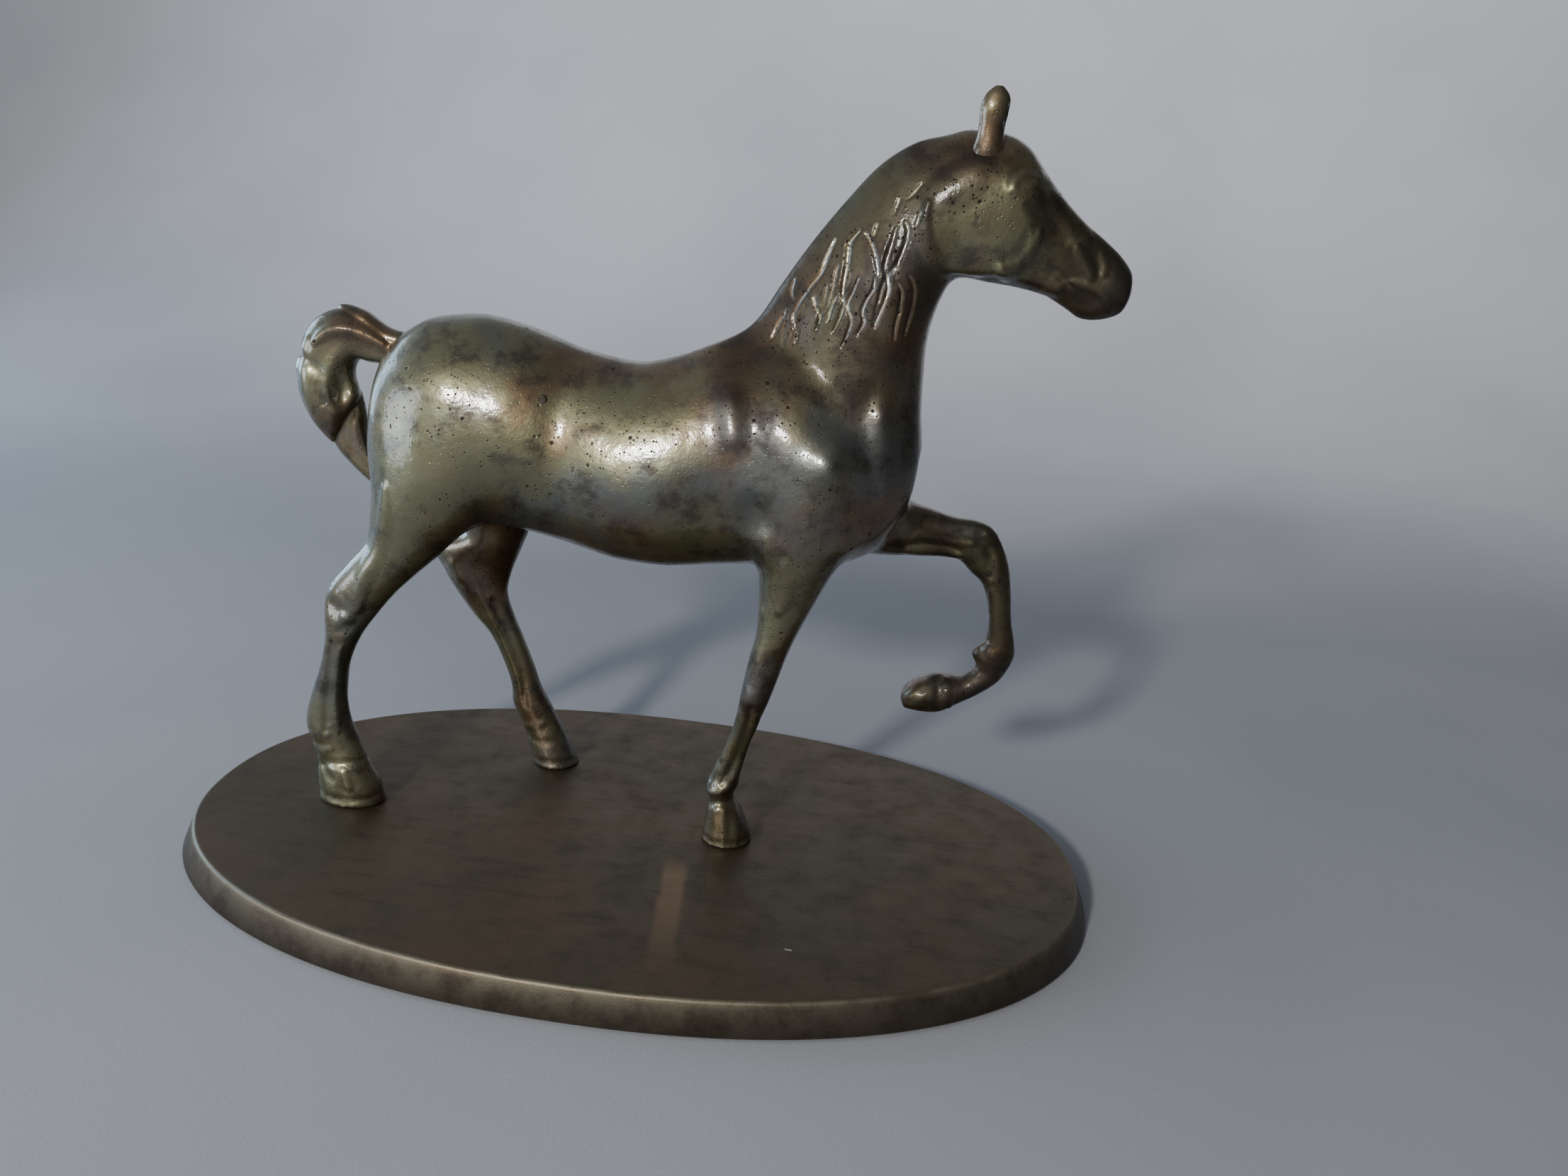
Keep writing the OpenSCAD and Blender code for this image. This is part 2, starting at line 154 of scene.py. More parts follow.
LEFT_HIND = [
    (-52, 152, -70, 153, 5, 5),
    (-46, 140, -76, 142, 8, 12.5),
    (-40, 124, -80, 130, 11.5, 12.6),
    (-38, 108, -80, 112, 15, 13.5),
    (-42, 96, -71.5, 97.5, 18, 10.5),
    (-46, 87, -69, 89.5, 19.5, 8),
    (-50, 78, -69, 83, 20.5, 7),
    (-53.5, 69.5, -80.5, 77, 21.5, 6),
    (-55, 62, -76, 67, 22, 5.6),
    (-53, 54, -68, 55, 22.7, 5),
    (-50, 46, -61.5, 47, 23.5, 4.3),
    (-46.5, 36, -57, 37, 24.4, 4.2),
    (-44, 28, -54.5, 29, 25, 4.4),
    (-41, 22, -54, 22, 25.5, 5),
    (-38.5, 17, -50.5, 13.5, 25.7, 4.8),
    (-36.5, 13, -49, 9, 25.9, 5.8),
    (-32.5, 5, -47, 3, 26, 7),
    (-30.5, 0, -46, 0, 26, 7.6),
    (-29.5, -4, -46, -4, 26, 7.8),
]
RIGHT_FORE = [
    (48, 150, 34, 151, -6, 5),
    (58, 134, 28, 136, -9, 12.5),
    (65, 120, 30, 118, -11, 13.3),
    (65, 106, 33, 103, -12, 12.5),
    (60, 97, 35, 92, -13, 10),
    (54.5, 86, 35.8, 82, -13.5, 7.5),
    (49.5, 75, 35.8, 71.5, -14, 6.2),
    (46, 66, 34.3, 63.5, -14.2, 5.8),
    (43.6, 58, 33, 56, -14.4, 5.8),
    (41.2, 50, 32, 49, -14.1, 5.2),
    (38, 41, 30.5, 40, -13.6, 4.2),
    (35.5, 33, 28, 32, -13.2, 4),
    (33.8, 26, 25.3, 26, -13, 4.3),
    (33, 20, 22.6, 18.5, -12.6, 5),
    (31.5, 16, 24, 14.5, -12.3, 4.8),
    (33, 12.5, 23.5, 11.5, -12.1, 6),
    (36.5, 5.5, 22.5, 5, -11.8, 7),
    (38, 0, 22, 0, -11.8, 7.8),
    (38.5, -4, 22, -4, -11.8, 8),
]
LEFT_FORE = [
    (46, 148, 32, 146, 6, 5),
    (58, 132, 30, 126, 9, 12.5),
    (68, 120, 42, 104, 11, 13),
    (76, 110.5, 58, 93, 13, 10.5),
    (84, 107.5, 70, 91.5, 14.5, 8.2),
    (91, 105.5, 80, 92, 15.5, 6.8),
    (97, 105, 88, 92.8, 16, 6),
    (102, 103.5, 93.5, 92, 16, 6),
    (105.5, 99.5, 97.5, 88.5, 16, 5.8),
    (109, 92, 101.5, 85, 16, 5.2),
    (110.8, 83, 104, 78.5, 16, 4.4),
    (112, 74, 105, 72, 16, 4.2),
    (113.8, 66.5, 104.5, 66.5, 16, 4.5),
    (114, 61, 101, 62, 16, 5),
    (110.5, 53.5, 102.5, 57.5, 16, 4.6),
    (105, 48.5, 98.5, 53.5, 16, 4.6),
    (100, 45.2, 95, 53.5, 16, 5.6),
    (92, 40.5, 90, 53.3, 16, 6.6),
    (82.5, 40.6, 87.2, 52, 16, 7),
    (80.4, 42.2, 84.6, 50.8, 16, 5.8),
    (79.6, 45, 82.4, 49, 16, 3.4),
]
TAIL_LOCK = [
    (-103, 113.6, -101.4, 114.6, -1.5, 0.8),
    (-106, 116.6, -99.2, 118.6, -1.5, 3),
    (-109.8, 121.5, -96.4, 123.6, -1.3, 5),
    (-113, 129, -94, 128.6, -1, 6.4),
    (-113.2, 136.4, -94.4, 130.8, -0.6, 7),
    (-111.2, 141, -94.8, 132.6, -0.5, 6.6),
    (-111.3, 145.5, -95.5, 134.6, -0.3, 7),
    (-106.5, 152, -95.5, 137.5, 0, 7),
    (-98.5, 155.2, -93.5, 140, 0, 6.5),
    (-90, 153.2, -90, 139.5, 0, 5.5),
    (-81.5, 148, -84, 139.5, 0, 4.5),
    (-74, 152, -78, 141, 0, 4.5),
]
TAIL_UNDER = [
    (-85.5, 99.2, -82, 104.5, 0.4, 1.6),
    (-88, 99.6, -84.6, 104.8, 0.5, 2.6),
    (-92, 102, -87, 107, 0.8, 3.4),
    (-98, 107, -90, 110.5, 1, 3.9),
    (-103, 112.4, -91.5, 114, 1.2, 4.2),
    (-104.5, 118, -92.5, 118.5, 1.4, 4.4),
    (-104, 125, -93.2, 124, 1.5, 4.2),
    (-102, 132, -94.4, 130, 1.5, 3),
]
TAIL_TOP = [
    (-100, 156, -99, 154.6, 0, 0.8),
    (-97, 156.4, -96, 152, 0, 2.6),
    (-91, 154.8, -90.5, 149, 0, 3.6),
    (-84, 150.6, -84.5, 145, 0, 3.6),
    (-76, 149, -78, 143, 0, 3.4),
]
EAR = [
    (91.2, 228, 89.2, 228, -6.6, 0.7),
    (93.2, 225.6, 87, 226, -6.8, 1.6),
    (93.6, 222, 85.8, 222.5, -6.8, 2.3),
    (92.8, 218, 85.8, 218, -6.3, 2.4),
    (92.9, 214.5, 85.3, 214.5, -5.8, 2.9),
    (94, 211, 84, 211, -5.2, 3.6),
    (95, 206, 82.5, 206, -4.5, 4),
]

# Seams between the castings
HIND_SEAM_Z = 88.0
FORE_SEAM_Z = 84.0
RAISED_SEAM_X = 80.0
NECK_SEAM = np.array((22.0, 0.0, 157.0))
NECK_SEAM_TILT = math.radians(28)
NECK_UP = np.array((math.sin(NECK_SEAM_TILT), 0.0, math.cos(NECK_SEAM_TILT)))


# ---- Lofts and distance fields ----
VOXEL = 0.5
REACH = 6.0
FIELD_LOW, FIELD_HIGH = (-122, -34, -3), (138, 38, 234)
STEPS = 6
SIDES = 48


def smooth_sections(sections):
    """The sections with others between them on a Catmull-Rom curve."""
    s = np.array([tuple(row) + (0,) * (7 - len(row)) for row in sections], float)
    last = len(s) - 1
    rows = []
    for i in range(last):
        a, b, c, d = s[max(i - 1, 0)], s[i], s[i + 1], s[min(i + 2, last)]
        for t in np.arange(STEPS) / STEPS:
            rows.append(0.5 * (2 * b + (c - a) * t + (2 * a - 5 * b + 4 * c - d) * t**2
                               + (3 * b - a - 3 * c + d) * t**3))
    rows.append(s[last])
    return np.array(rows)


def ring_quads(count, sides):
    """Quads that join each of the rings of points to the next."""
    i, j = np.meshgrid(np.arange(count - 1), np.arange(sides), indexing="ij")
    a, b = i * sides + j, i * sides + (j + 1) % sides
    return np.stack((a, b, b + sides, a + sides), -1).reshape(-1, 4)


def loft(sections):
    """Points, quads and end triangles of a closed form through the sections."""
    s = smooth_sections(sections)[:, None, :]
    angle = np.linspace(0, 2 * np.pi, SIDES, endpoint=False)[None, :]
    c, w = np.cos(angle), np.sin(angle)
    x = (s[..., 0] + s[..., 2] + (s[..., 0] - s[..., 2]) * c) / 2
    y = s[..., 4] + s[..., 5] * w * (1 - s[..., 6] * c)
    z = (s[..., 1] + s[..., 3] + (s[..., 1] - s[..., 3]) * c) / 2
    rings = np.stack((x, y, z), -1)
    points = rings.reshape(-1, 3)
    ends = np.array((rings[0].mean(0), rings[-1].mean(0)))
    quads = ring_quads(len(rings), SIDES)
    k = np.arange(SIDES)
    n = (k + 1) % SIDES
    last = len(points) - SIDES
    triangles = np.concatenate((
        np.stack((np.full(SIDES, len(points)), n, k), -1),
        np.stack((np.full(SIDES, len(points) + 1), last + k, last + n), -1)))
    return np.concatenate((points, ends)), quads, triangles


class Field:
    """Distances to a surface on a grid of voxels, negative inside."""

    def __init__(self, low, high, voxel=VOXEL):
        self.voxel = voxel
        self.first = np.floor(np.asarray(low) / voxel).astype(int)
        self.shape = np.ceil(np.asarray(high) / voxel).astype(int) - self.first + 1
        self.d = np.full(self.shape, REACH, np.float32)

    def window(self, low, high):
        """Slices that cover a box, and the voxel it starts at."""
        a = np.clip(np.floor(np.asarray(low) / self.voxel).astype(int) - self.first,
                    0, self.shape - 1)
        b = np.clip(np.ceil(np.asarray(high) / self.voxel).astype(int) - self.first + 1,
                    1, self.shape)
        return tuple(slice(p, q) for p, q in zip(a, b)), self.first + a

    def axes(self, part, start):
        """Coordinates of the voxels in a window, ready to broadcast."""
        rows = [(start[i] + np.arange(part[i].stop - part[i].start)) * self.voxel
                for i in range(3)]
        return np.meshgrid(*rows, indexing="ij", sparse=True)

    def merge(self, part, other, blend):
        """Joins another field's window, rounding the join over blend millimetres."""
        mine = self.d[part]
        if blend <= 0:
            np.minimum(mine, other, out=mine)
            return
        h = np.clip(0.5 + 0.5 * (other - mine) / blend, 0, 1)
        self.d[part] = other + (mine - other) * h - blend * h * (1 - h)

    def add_loft(self, sections, blend=0.0, mirror=False):
        """Joins a form through sections, or its mirror image in y."""
        points, quads, triangles = loft(sections)
        if mirror:
            points = points * (1, -1, 1)
        grid = openvdb.FloatGrid.createLevelSetFromPolygons(
            points, triangles=triangles, quads=quads,
            transform=openvdb.createLinearTransform(self.voxel),
            halfWidth=REACH / self.voxel)
        part, start = self.window(points.min(0) - REACH, points.max(0) + REACH)
        other = np.empty([p.stop - p.start for p in part], np.float32)
        grid.copyToArray(other, ijk=tuple(int(v) for v in start))
        self.merge(part, other, blend)

    def add_ball(self, centre, radii, blend, carve=False, boxy=2.0):
        """Joins, or carves out, an ellipsoid; a higher boxy flattens its two faces."""
        centre, radii = np.array(centre, float), np.array(radii, float)
        part, start = self.window(centre - radii - REACH, centre + radii + REACH)
        x, y, z = self.axes(part, start)
        q = [(v - c) / r for v, c, r in zip((x, y, z), centre, radii)]
        length = ((q[0]**2 + q[2]**2)**(boxy / 2) + np.abs(q[1])**boxy)**(1 / boxy)
        slope = np.sqrt((q[0] / radii[0])**2 + (q[1] / radii[1])**2
                        + (q[2] / radii[2])**2) + 1e-6
        self.join(part, length * (length - 1) / slope, blend, carve)

    def add_rod(self, start, end, first, last, blend, carve=False):
        """Joins, or carves out, a round-ended rod of two radii."""
        a, b = np.array(start, float), np.array(end, float)
        most = max(first, last) + REACH
        part, origin = self.window(np.minimum(a, b) - most, np.maximum(a, b) + most)
        x, y, z = self.axes(part, origin)
        run = b - a
        t = np.clip(((x - a[0]) * run[0] + (y - a[1]) * run[1] + (z - a[2]) * run[2])
                    / (run @ run), 0, 1)
        away = np.sqrt((x - a[0] - t * run[0])**2 + (y - a[1] - t * run[1])**2
                       + (z - a[2] - t * run[2])**2)
        self.join(part, away - first - t * (last - first), blend, carve)

    def join(self, part, other, blend, carve):
        """Merges distances into a window, or takes them away."""
        sign = -1 if carve else 1
        self.d[part] *= sign
        self.merge(part, np.clip(other, -REACH, REACH).astype(np.float32), blend)
        self.d[part] *= sign

    def soften(self, sigma, weight):
        """Blurs the distances by sigma millimetres where weight is 1."""
        reach = int(math.ceil(2.5 * sigma / self.voxel))
        taps = np.exp(-0.5 * (np.arange(-reach, reach + 1) * self.voxel / sigma)**2)
        taps = (taps / taps.sum()).astype(np.float32)
        blurred = self.d
        for axis in range(3):
            pad = [(reach, reach) if i == axis else (0, 0) for i in range(3)]
            wide = np.pad(blurred, pad, mode="edge")
            blurred = np.zeros_like(self.d)
            for k, tap in enumerate(taps):
                cut = [slice(None)] * 3
                cut[axis] = slice(k, k + self.shape[axis])
                blurred += tap * wide[tuple(cut)]
        self.d += (blurred - self.d) * weight

    def skin(self, low, high, size):
        """Points and quads of the surface inside a box, with quads of about size."""
        part, start = self.window(low, high)
        block = self.d[part]
        step = size / self.voxel
        for axis in range(3):
            at = np.arange(0, block.shape[axis] - 1.001, step)
            i = at.astype(int)
            t = (at - i).astype(np.float32).reshape([-1 if a == axis else 1 for a in range(3)])
            block = (np.take(block, i, axis) * (1 - t) + np.take(block, i + 1, axis) * t)
        grid = openvdb.FloatGrid()
        grid.copyFromArray(np.ascontiguousarray(block, np.float32))
        points, quads = grid.convertToQuads(0.0)
        return points * size + start * self.voxel, quads[:, ::-1].astype(int)


def ramp(v, low, high):
    """0 below low, 1 above high, smooth between."""
    t = np.clip((v - low) / (high - low), 0, 1)
    return t * t * (3 - 2 * t)


def horse_field():
    """The whole horse but for its ears and tail."""
    field = Field(FIELD_LOW, FIELD_HIGH)
    field.add_loft(TRUNK)
    field.add_loft(NECK, 8)
    for leg in (RIGHT_HIND, LEFT_HIND, RIGHT_FORE, LEFT_FORE):
        field.add_loft(leg, 5)
    for side in (-1, 1):
        # The elbow, and the hollow behind it
        field.add_ball((41.5, side * 14.5, 100), (7, 7, 7.5), 4)
        field.add_ball((34.5, side * 26.2, 108), (6, 5, 7), 4, carve=True)
        # The flank in front of the thigh
        field.add_ball((-34, side * 28, 104), (6, 5.5, 10), 5, carve=True)
        # The edge of the shoulder blade and the hollow ahead of it, the point of the
        # shoulder, and the groove and the ridge of the breast
        field.add_rod((25, side * 16.4, 140), (27, side * 19.6, 131), 1.8, 2.2, 5)
        field.add_rod((33, side * 29, 142), (35, side * 30.4, 122), 3.2, 4, 6, carve=True)
        field.add_ball((55, side * 19.2, 124.5), (7, 6, 7), 5)
        field.add_rod((60.5, side * 24, 146), (62.5, side * 24.2, 118), 2, 2.8, 4, carve=True)
        field.add_rod((67.5, side * 14.4, 140), (70, side * 13, 118), 1.8, 2.4, 4)
    # The cleft of the rump and the furrow of the breast
    field.add_rod((-89, 0, 136), (-88, 0, 96), 2.2, 3.2, 3, carve=True)
    field.add_rod((80, 0, 124), (74, 0, 100), 1.6, 3, 4, carve=True)
    x, y, z = field.axes(tuple(slice(0, n) for n in field.shape), field.first)
    body = ramp(z, 78, 98) * (1 - ramp(x, 76, 84))
    field.soften(1.7, body.astype(np.float32))
    field.add_loft(HEAD, 4)
    poll = ramp(x, 68, 76) * (1 - ramp(x, 96, 104)) * ramp(z, 170, 180)
    field.soften(1.8, (poll + 0 * y).astype(np.float32))
    for side in (-1, 1):
        field.add_ball((CHEEK[0], side * 5.6, CHEEK[1]), (14.4, 5.6, 14.2), 3.6, boxy=4)
    # The soles stand flat on the base
    field.d = np.maximum(field.d, (-z).astype(np.float32))
    return field


# ---- Meshes ----
def make_mesh(name, points, quads):
    """A mesh of quads, made from arrays."""
    mesh = bpy.data.meshes.new(name)
    mesh.vertices.add(len(points))
    mesh.vertices.foreach_set("co", np.asarray(points, np.float32).ravel())
    mesh.loops.add(quads.size)
    mesh.loops.foreach_set("vertex_index", quads.ravel().astype(np.int32))
    mesh.polygons.add(len(quads))
    mesh.polygons.foreach_set("loop_start", np.arange(0, quads.size, 4, dtype=np.int32))
    mesh.update(calc_edges=True)
    mesh.validate()
    return mesh


def smooth_faces(mesh):
    mesh.polygons.foreach_set("use_smooth", np.ones(len(mesh.polygons), bool))


def read(items, name):
    """A row of three floats for each item."""
    out = np.empty(len(items) * 3, np.float32)
    items.foreach_get(name, out)
    return out.reshape(-1, 3)


def store(mesh, name, kind, values):
    """Keeps values as a point attribute of a mesh."""
    data = mesh.attributes.new(name, kind, "POINT").data
    data.foreach_set("value" if kind == "FLOAT" else "vector",
                     np.asarray(values, np.float32).ravel())


def set_points(mesh, points):
    mesh.vertices.foreach_set("co", np.asarray(points, np.float32).ravel())
    mesh.update()


def cut_mesh(bm, point, normal, here):
    """Cuts away what lies past a plane, among the faces where here(centre) is true."""
    point, normal = Vector(point), Vector(normal).normalized()
    faces = [f for f in bm.faces if here(f.calc_center_median())]
    edges = {e for f in faces for e in f.edges}
    verts = {v for f in faces for v in f.verts}
    cut = bmesh.ops.bisect_plane(bm, geom=list(verts) + list(edges) + faces,
                                 plane_co=point, plane_no=normal, dist=1e-5)
    seam = [g for g in cut["geom_cut"] if isinstance(g, bmesh.types.BMEdge)]
    gone = [f for f in bm.faces
            if (f.calc_center_median() - point).dot(normal) > 0
            and here(f.calc_center_median())]
    bmesh.ops.delete(bm, geom=gone, context="FACES")
    seam = [e for e in seam if e.is_valid and e.is_boundary]
    caps = bmesh.ops.holes_fill(bm, edges=seam, sides=0)["faces"]
    for face in caps:
        face.smooth = True


def add_object(name, data):
    """An object in the scene that holds a mesh, a light or a camera."""
    thing = bpy.data.objects.new(name, data)
    bpy.context.scene.collection.objects.link(thing)
    return thing


def make_piece(name, mesh, cuts, material, *nodes):
    """One piece of the horse, cut at its seams and moved into the frame."""
    smooth_faces(mesh)
    bm = bmesh.new()
    bm.from_mesh(mesh)
    for cut in cuts:
        cut_mesh(bm, *cut)
    loose = [v for v in bm.verts if not v.link_faces]
    bmesh.ops.delete(bm, geom=loose, context="VERTS")
    bm.to_mesh(mesh)
    bm.free()
    set_points(mesh, to_frame(read(mesh.vertices, "co")))
    # The uncut form's normals run on across the seams
    normals = read(mesh.attributes["form"].data, "vector")
    mesh.attributes.remove(mesh.attributes["form"])
    mesh.normals_split_custom_set_from_vertices(normals.tolist())
    mesh.materials.append(material)
    piece = add_object(name, mesh)
    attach(piece, "root")
    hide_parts(*nodes)


# ---- Modelling strokes ----
def arc(x, z, radius, start, end):
    """Side-view points round part of a circle, with its angles in degrees."""
    angle = np.radians(np.linspace(start, end, 9))
    return [(x + radius * math.cos(a), z + radius * math.sin(a)) for a in angle]


class Clay:
    """A mesh being worked over, in the horse's millimetres."""

    def __init__(self, points, quads):
        self.mesh = make_mesh("clay", points, quads)
        edges = np.empty(len(self.mesh.edges) * 2, np.int32)
        self.mesh.edges.foreach_get("vertices", edges)
        self.a, self.b = edges.reshape(-1, 2).T
        self.wear_and_painted_light = np.zeros(len(self.mesh.vertices))
        self.refresh()

    def refresh(self):
        self.points = read(self.mesh.vertices, "co").astype(float)
        self.normals = read(self.mesh.vertex_normals, "vector").astype(float)
        self.lift = np.zeros(len(self.points))

    def gather(self, first=None, second=None):
        """Sums at each point over its edges, which have a value for each of their ends."""
        count = len(self.points)
        return np.bincount(self.a, first, count) + np.bincount(self.b, second, count)

    def spread(self, values, passes):
        """The values, averaged with those next to them a number of times."""
        total = np.maximum(self.gather(), 1)
        for _ in range(passes):
            values = (values + self.gather(values[self.b], values[self.a]) / total) / 2
        return values

    def stroke(self, line, radius, height, side=0, wear_and_painted_light=0):
        """Raises a line seen from the side, or presses it in with a negative height.

        With a side of -1 or 1, only that half of the horse is touched. The last value says how
        far the patina is rubbed off or a highlight painted on, or below 0 how much painted shade
        darkens and dulls it. The strokes take effect together when they are settled.
        """
        line = smooth_sections(line)[:, :2] if len(line) > 2 else np.asarray(line, float)
        flat = self.points[:, (0, 2)]
        inside = ((flat > line.min(0) - radius) & (flat < line.max(0) + radius)).all(1)
        if side:
            inside &= self.points[:, 1] * side > 0
        near = np.nonzero(inside)[0]
        if not len(near):
            return
        p = flat[near]
        lengths = np.linalg.norm(np.diff(line, axis=0), axis=1)
        done = 0.0
        best, along = np.full(len(p), 1e9), np.zeros(len(p))
        for a, b, length in zip(line[:-1], line[1:], lengths):
            t = np.clip((p - a) @ (b - a) / max(length * length, 1e-9), 0, 1)
            d = np.linalg.norm(p - a - t[:, None] * (b - a), axis=1)
            closer = d < best
            best[closer] = d[closer]
            along[closer] = (done + t[closer] * length) / lengths.sum()
            done += length
        taper = 0.5 * min(1.0, lengths.sum() / (5 * radius))
        width = radius * (1 - taper * np.abs(2 * along - 1)**3)
        depth = np.clip(1 - (best / width)**2, 0, 1)
        facing = ramp(np.abs(self.normals[near, 1]), 0.05, 0.45)
        self.lift[near] += height * depth**2 * facing
        self.wear_and_painted_light[near] += wear_and_painted_light * depth**(4 if wear_and_painted_light > 0 else 1) * facing

    def settle(self, passes):
        """Moves the surface by all the strokes so far, smoothed a number of times."""
        self.points += self.normals * self.spread(self.lift, passes)[:, None]
        set_points(self.mesh, self.points)
        self.refresh()

    def done(self):
        """Keeps the normals, and how far the surface bulges, with the rubbed wear, painted
        highlights and painted shade of the strokes added.
        """
        store(self.mesh, "form", "FLOAT_VECTOR", self.normals)
        store(self.mesh, "relief", "FLOAT", self.relief() + self.wear_and_painted_light)

    def relief(self):
        """Mean curvature in 1/mm: ridges above 0, hollows below."""
        gap = self.points[self.b] - self.points[self.a]
        fall = self.gather(-(gap * self.normals[self.a]).sum(1),
                           (gap * self.normals[self.b]).sum(1))
        square = (gap**2).sum(1)
        size = np.maximum(self.gather(square, square), 1e-6)
        return self.spread(2 * fall / size, 3)


CHEEK = (89.4, 193.6)
# The strokes: the line, its radius, and how far it rises
HEAD_STROKES = [
    # Round the cheek: the crease behind and below it, and its rim in front
    (arc(*CHEEK, 15.2, 165, 265), 2.8, -0.45),
    (arc(*CHEEK, 15.8, 280, 355), 2.6, -0.4),
    (arc(*CHEEK, 12.6, 295, 350), 2.4, 0.3),
    # Eye: socket, ball, brow, lower lid, and the hollow above
    ([(97, 203.2), (102, 205)], 4, -0.5),
    ([(98.9, 204), (100.8, 204.8)], 2.6, 0.55),
    ([(95.6, 203), (96.8, 206.2), (99.6, 207.8), (103, 206.4)], 1.8, 0.25),
    ([(94, 210.5), (97, 212)], 3.4, -0.3),
    # Facial crest, and the hollow above it
    ([(102, 198.6), (107, 194.6), (112, 190.6)], 4, 0.5),
    ([(107, 201.5), (113, 195.5), (118, 191.2)], 3.8, -0.5),
    # Nostril: its wing, the groove behind it, and the opening
    ([(120, 187.4), (123, 183.2)], 4, 0.2),
    ([(115.8, 188.8), (118.2, 185), (120, 181.4)], 2.8, -0.5),
    ([(122.4, 187.6), (123.6, 184.6), (123.4, 182.2)], 2, -0.3),
    # Lips, mouth and jaw
    ([(111.5, 183.4), (116.8, 181.4)], 5, 0.15),
    ([(115, 179.6), (118.6, 178.8), (122.2, 177.6), (125, 175.4), (126.2, 172.4)], 2.2, -0.4),
    ([(117, 174.8), (121.5, 174.6)], 4, 0.4),
    ([(96, 181.6), (104.5, 179.8), (112, 177.4)], 4.6, -1.5),
]
# Painted shade, where the wax is also dull: the line, its radius, how dark it is painted, and
# the half of the horse that it is on, or 0 for both
PAINTED_SHADE = [
    ([(79, 203), (88, 208)], 10, -1.0, 0),
    (arc(*CHEEK, 13.6, 112, 158), 4, -0.8, 0),
    ([(41, 156), (47, 151)], 6, -1.2, 0),
    ([(57.5, 146), (59.5, 139)], 6, -0.8, 0),
    ([(46, 157), (60, 151)], 15, -1.0, 0),
    ([(108, 198), (114, 190), (124, 180)], 15, -0.8, 0),
    ([(124, 184), (118, 174)], 12, -0.5, 0),
    ([(30, 150), (48, 168), (62, 186), (72, 200)], 26, -1.0, 0),
    ([(78, 176), (78, 150), (77, 128)], 12, -0.6, 0),
    ([(38, 52), (32, 8)], 12, -0.4, -1),
    ([(84, 100), (106, 98), (110, 66), (86, 46)], 18, -0.7, 0),
]
BODY_STROKES = [
    ([(49, 154.5), (58, 147.5)], 9, -0.5),
    ([(36, 114), (39.4, 111), (40, 107), (38, 103)], 4, -0.3),
    ([(44, 96), (44.8, 88.6), (43.2, 81)], 3.6, -0.6),
    ([(37, 94), (37.4, 82)], 4, 0.5),
]
# On the legs of one side, the hind leg first
RIGHT_LEG_STROKES = [
    ([(-75.5, 107), (-76.5, 96), (-80, 86), (-84.8, 75), (-86.5, 67)], 4, -0.77),
    ([(-94.6, 67.6), (-92.4, 65.6)], 4, 0.77),
    ([(-91.2, 64.6), (-89.4, 63.6)], 2.6, -0.68),
    ([(-92.7, 59.5), (-89.4, 61.6), (-84, 66.5)], 3.2, 0.51),
    ([(-95.6, 55), (-96.6, 48), (-97.7, 41), (-98.4, 33), (-98.9, 25)], 2.6, 0.68),
    ([(-92.6, 54), (-94.2, 48), (-95.1, 41), (-95.9, 34), (-95, 25)], 2.2, -0.59),
    ([(-104.6, 18.6), (-101, 17.6), (-97.4, 19)], 2.6, -0.59),
    ([(-103.5, 12), (-99, 14), (-93, 14.6), (-87.4, 15)], 2.2, 0.59),
    ([(-100, 12), (-97, 9)], 2.6, 0.5),
    ([(-93, 11.6), (-91, 7)], 2.4, -0.4),
    ([(-103, 3.4), (-97, 2.8), (-90, 2.8), (-83, 3.4)], 1.9, 0.4),
    ([(35.4, 62), (36.4, 56)], 3.7, 0.51),
    ([(42.6, 66), (41, 56)], 4.4, 0.42),
    ([(33, 51), (37.6, 50), (42, 49.6)], 3.4, -0.25),
    ([(36.6, 48.8), (34.8, 38.7), (31.8, 29), (28.4, 21.5)], 2.5, 0.77),
    ([(38.2, 46), (37, 36), (34.6, 29.5), (31.8, 22.5)], 2, -0.59),
    ([(32.8, 46), (30.8, 37), (27.8, 29)], 1.9, -0.42),
    ([(24.4, 17.6), (27.4, 18.2), (30.6, 20.4)], 2.1, -0.68),
    ([(25.4, 22), (27.6, 23.2)], 2.9, 0.51),
    ([(23.6, 12.8), (28, 14.6), (33.6, 13.4)], 1.9, 0.42),
    ([(27, 12.4), (26.4, 2)], 1.6, -0.3),
    ([(30, 12.8), (30.2, 1.6)], 1.6, -0.3),
    ([(33.2, 12), (34.4, 1.6)], 1.6, -0.3),
    ([(21.8, 2), (30, 1.6), (38.4, 2)], 1.9, 0.42),
]
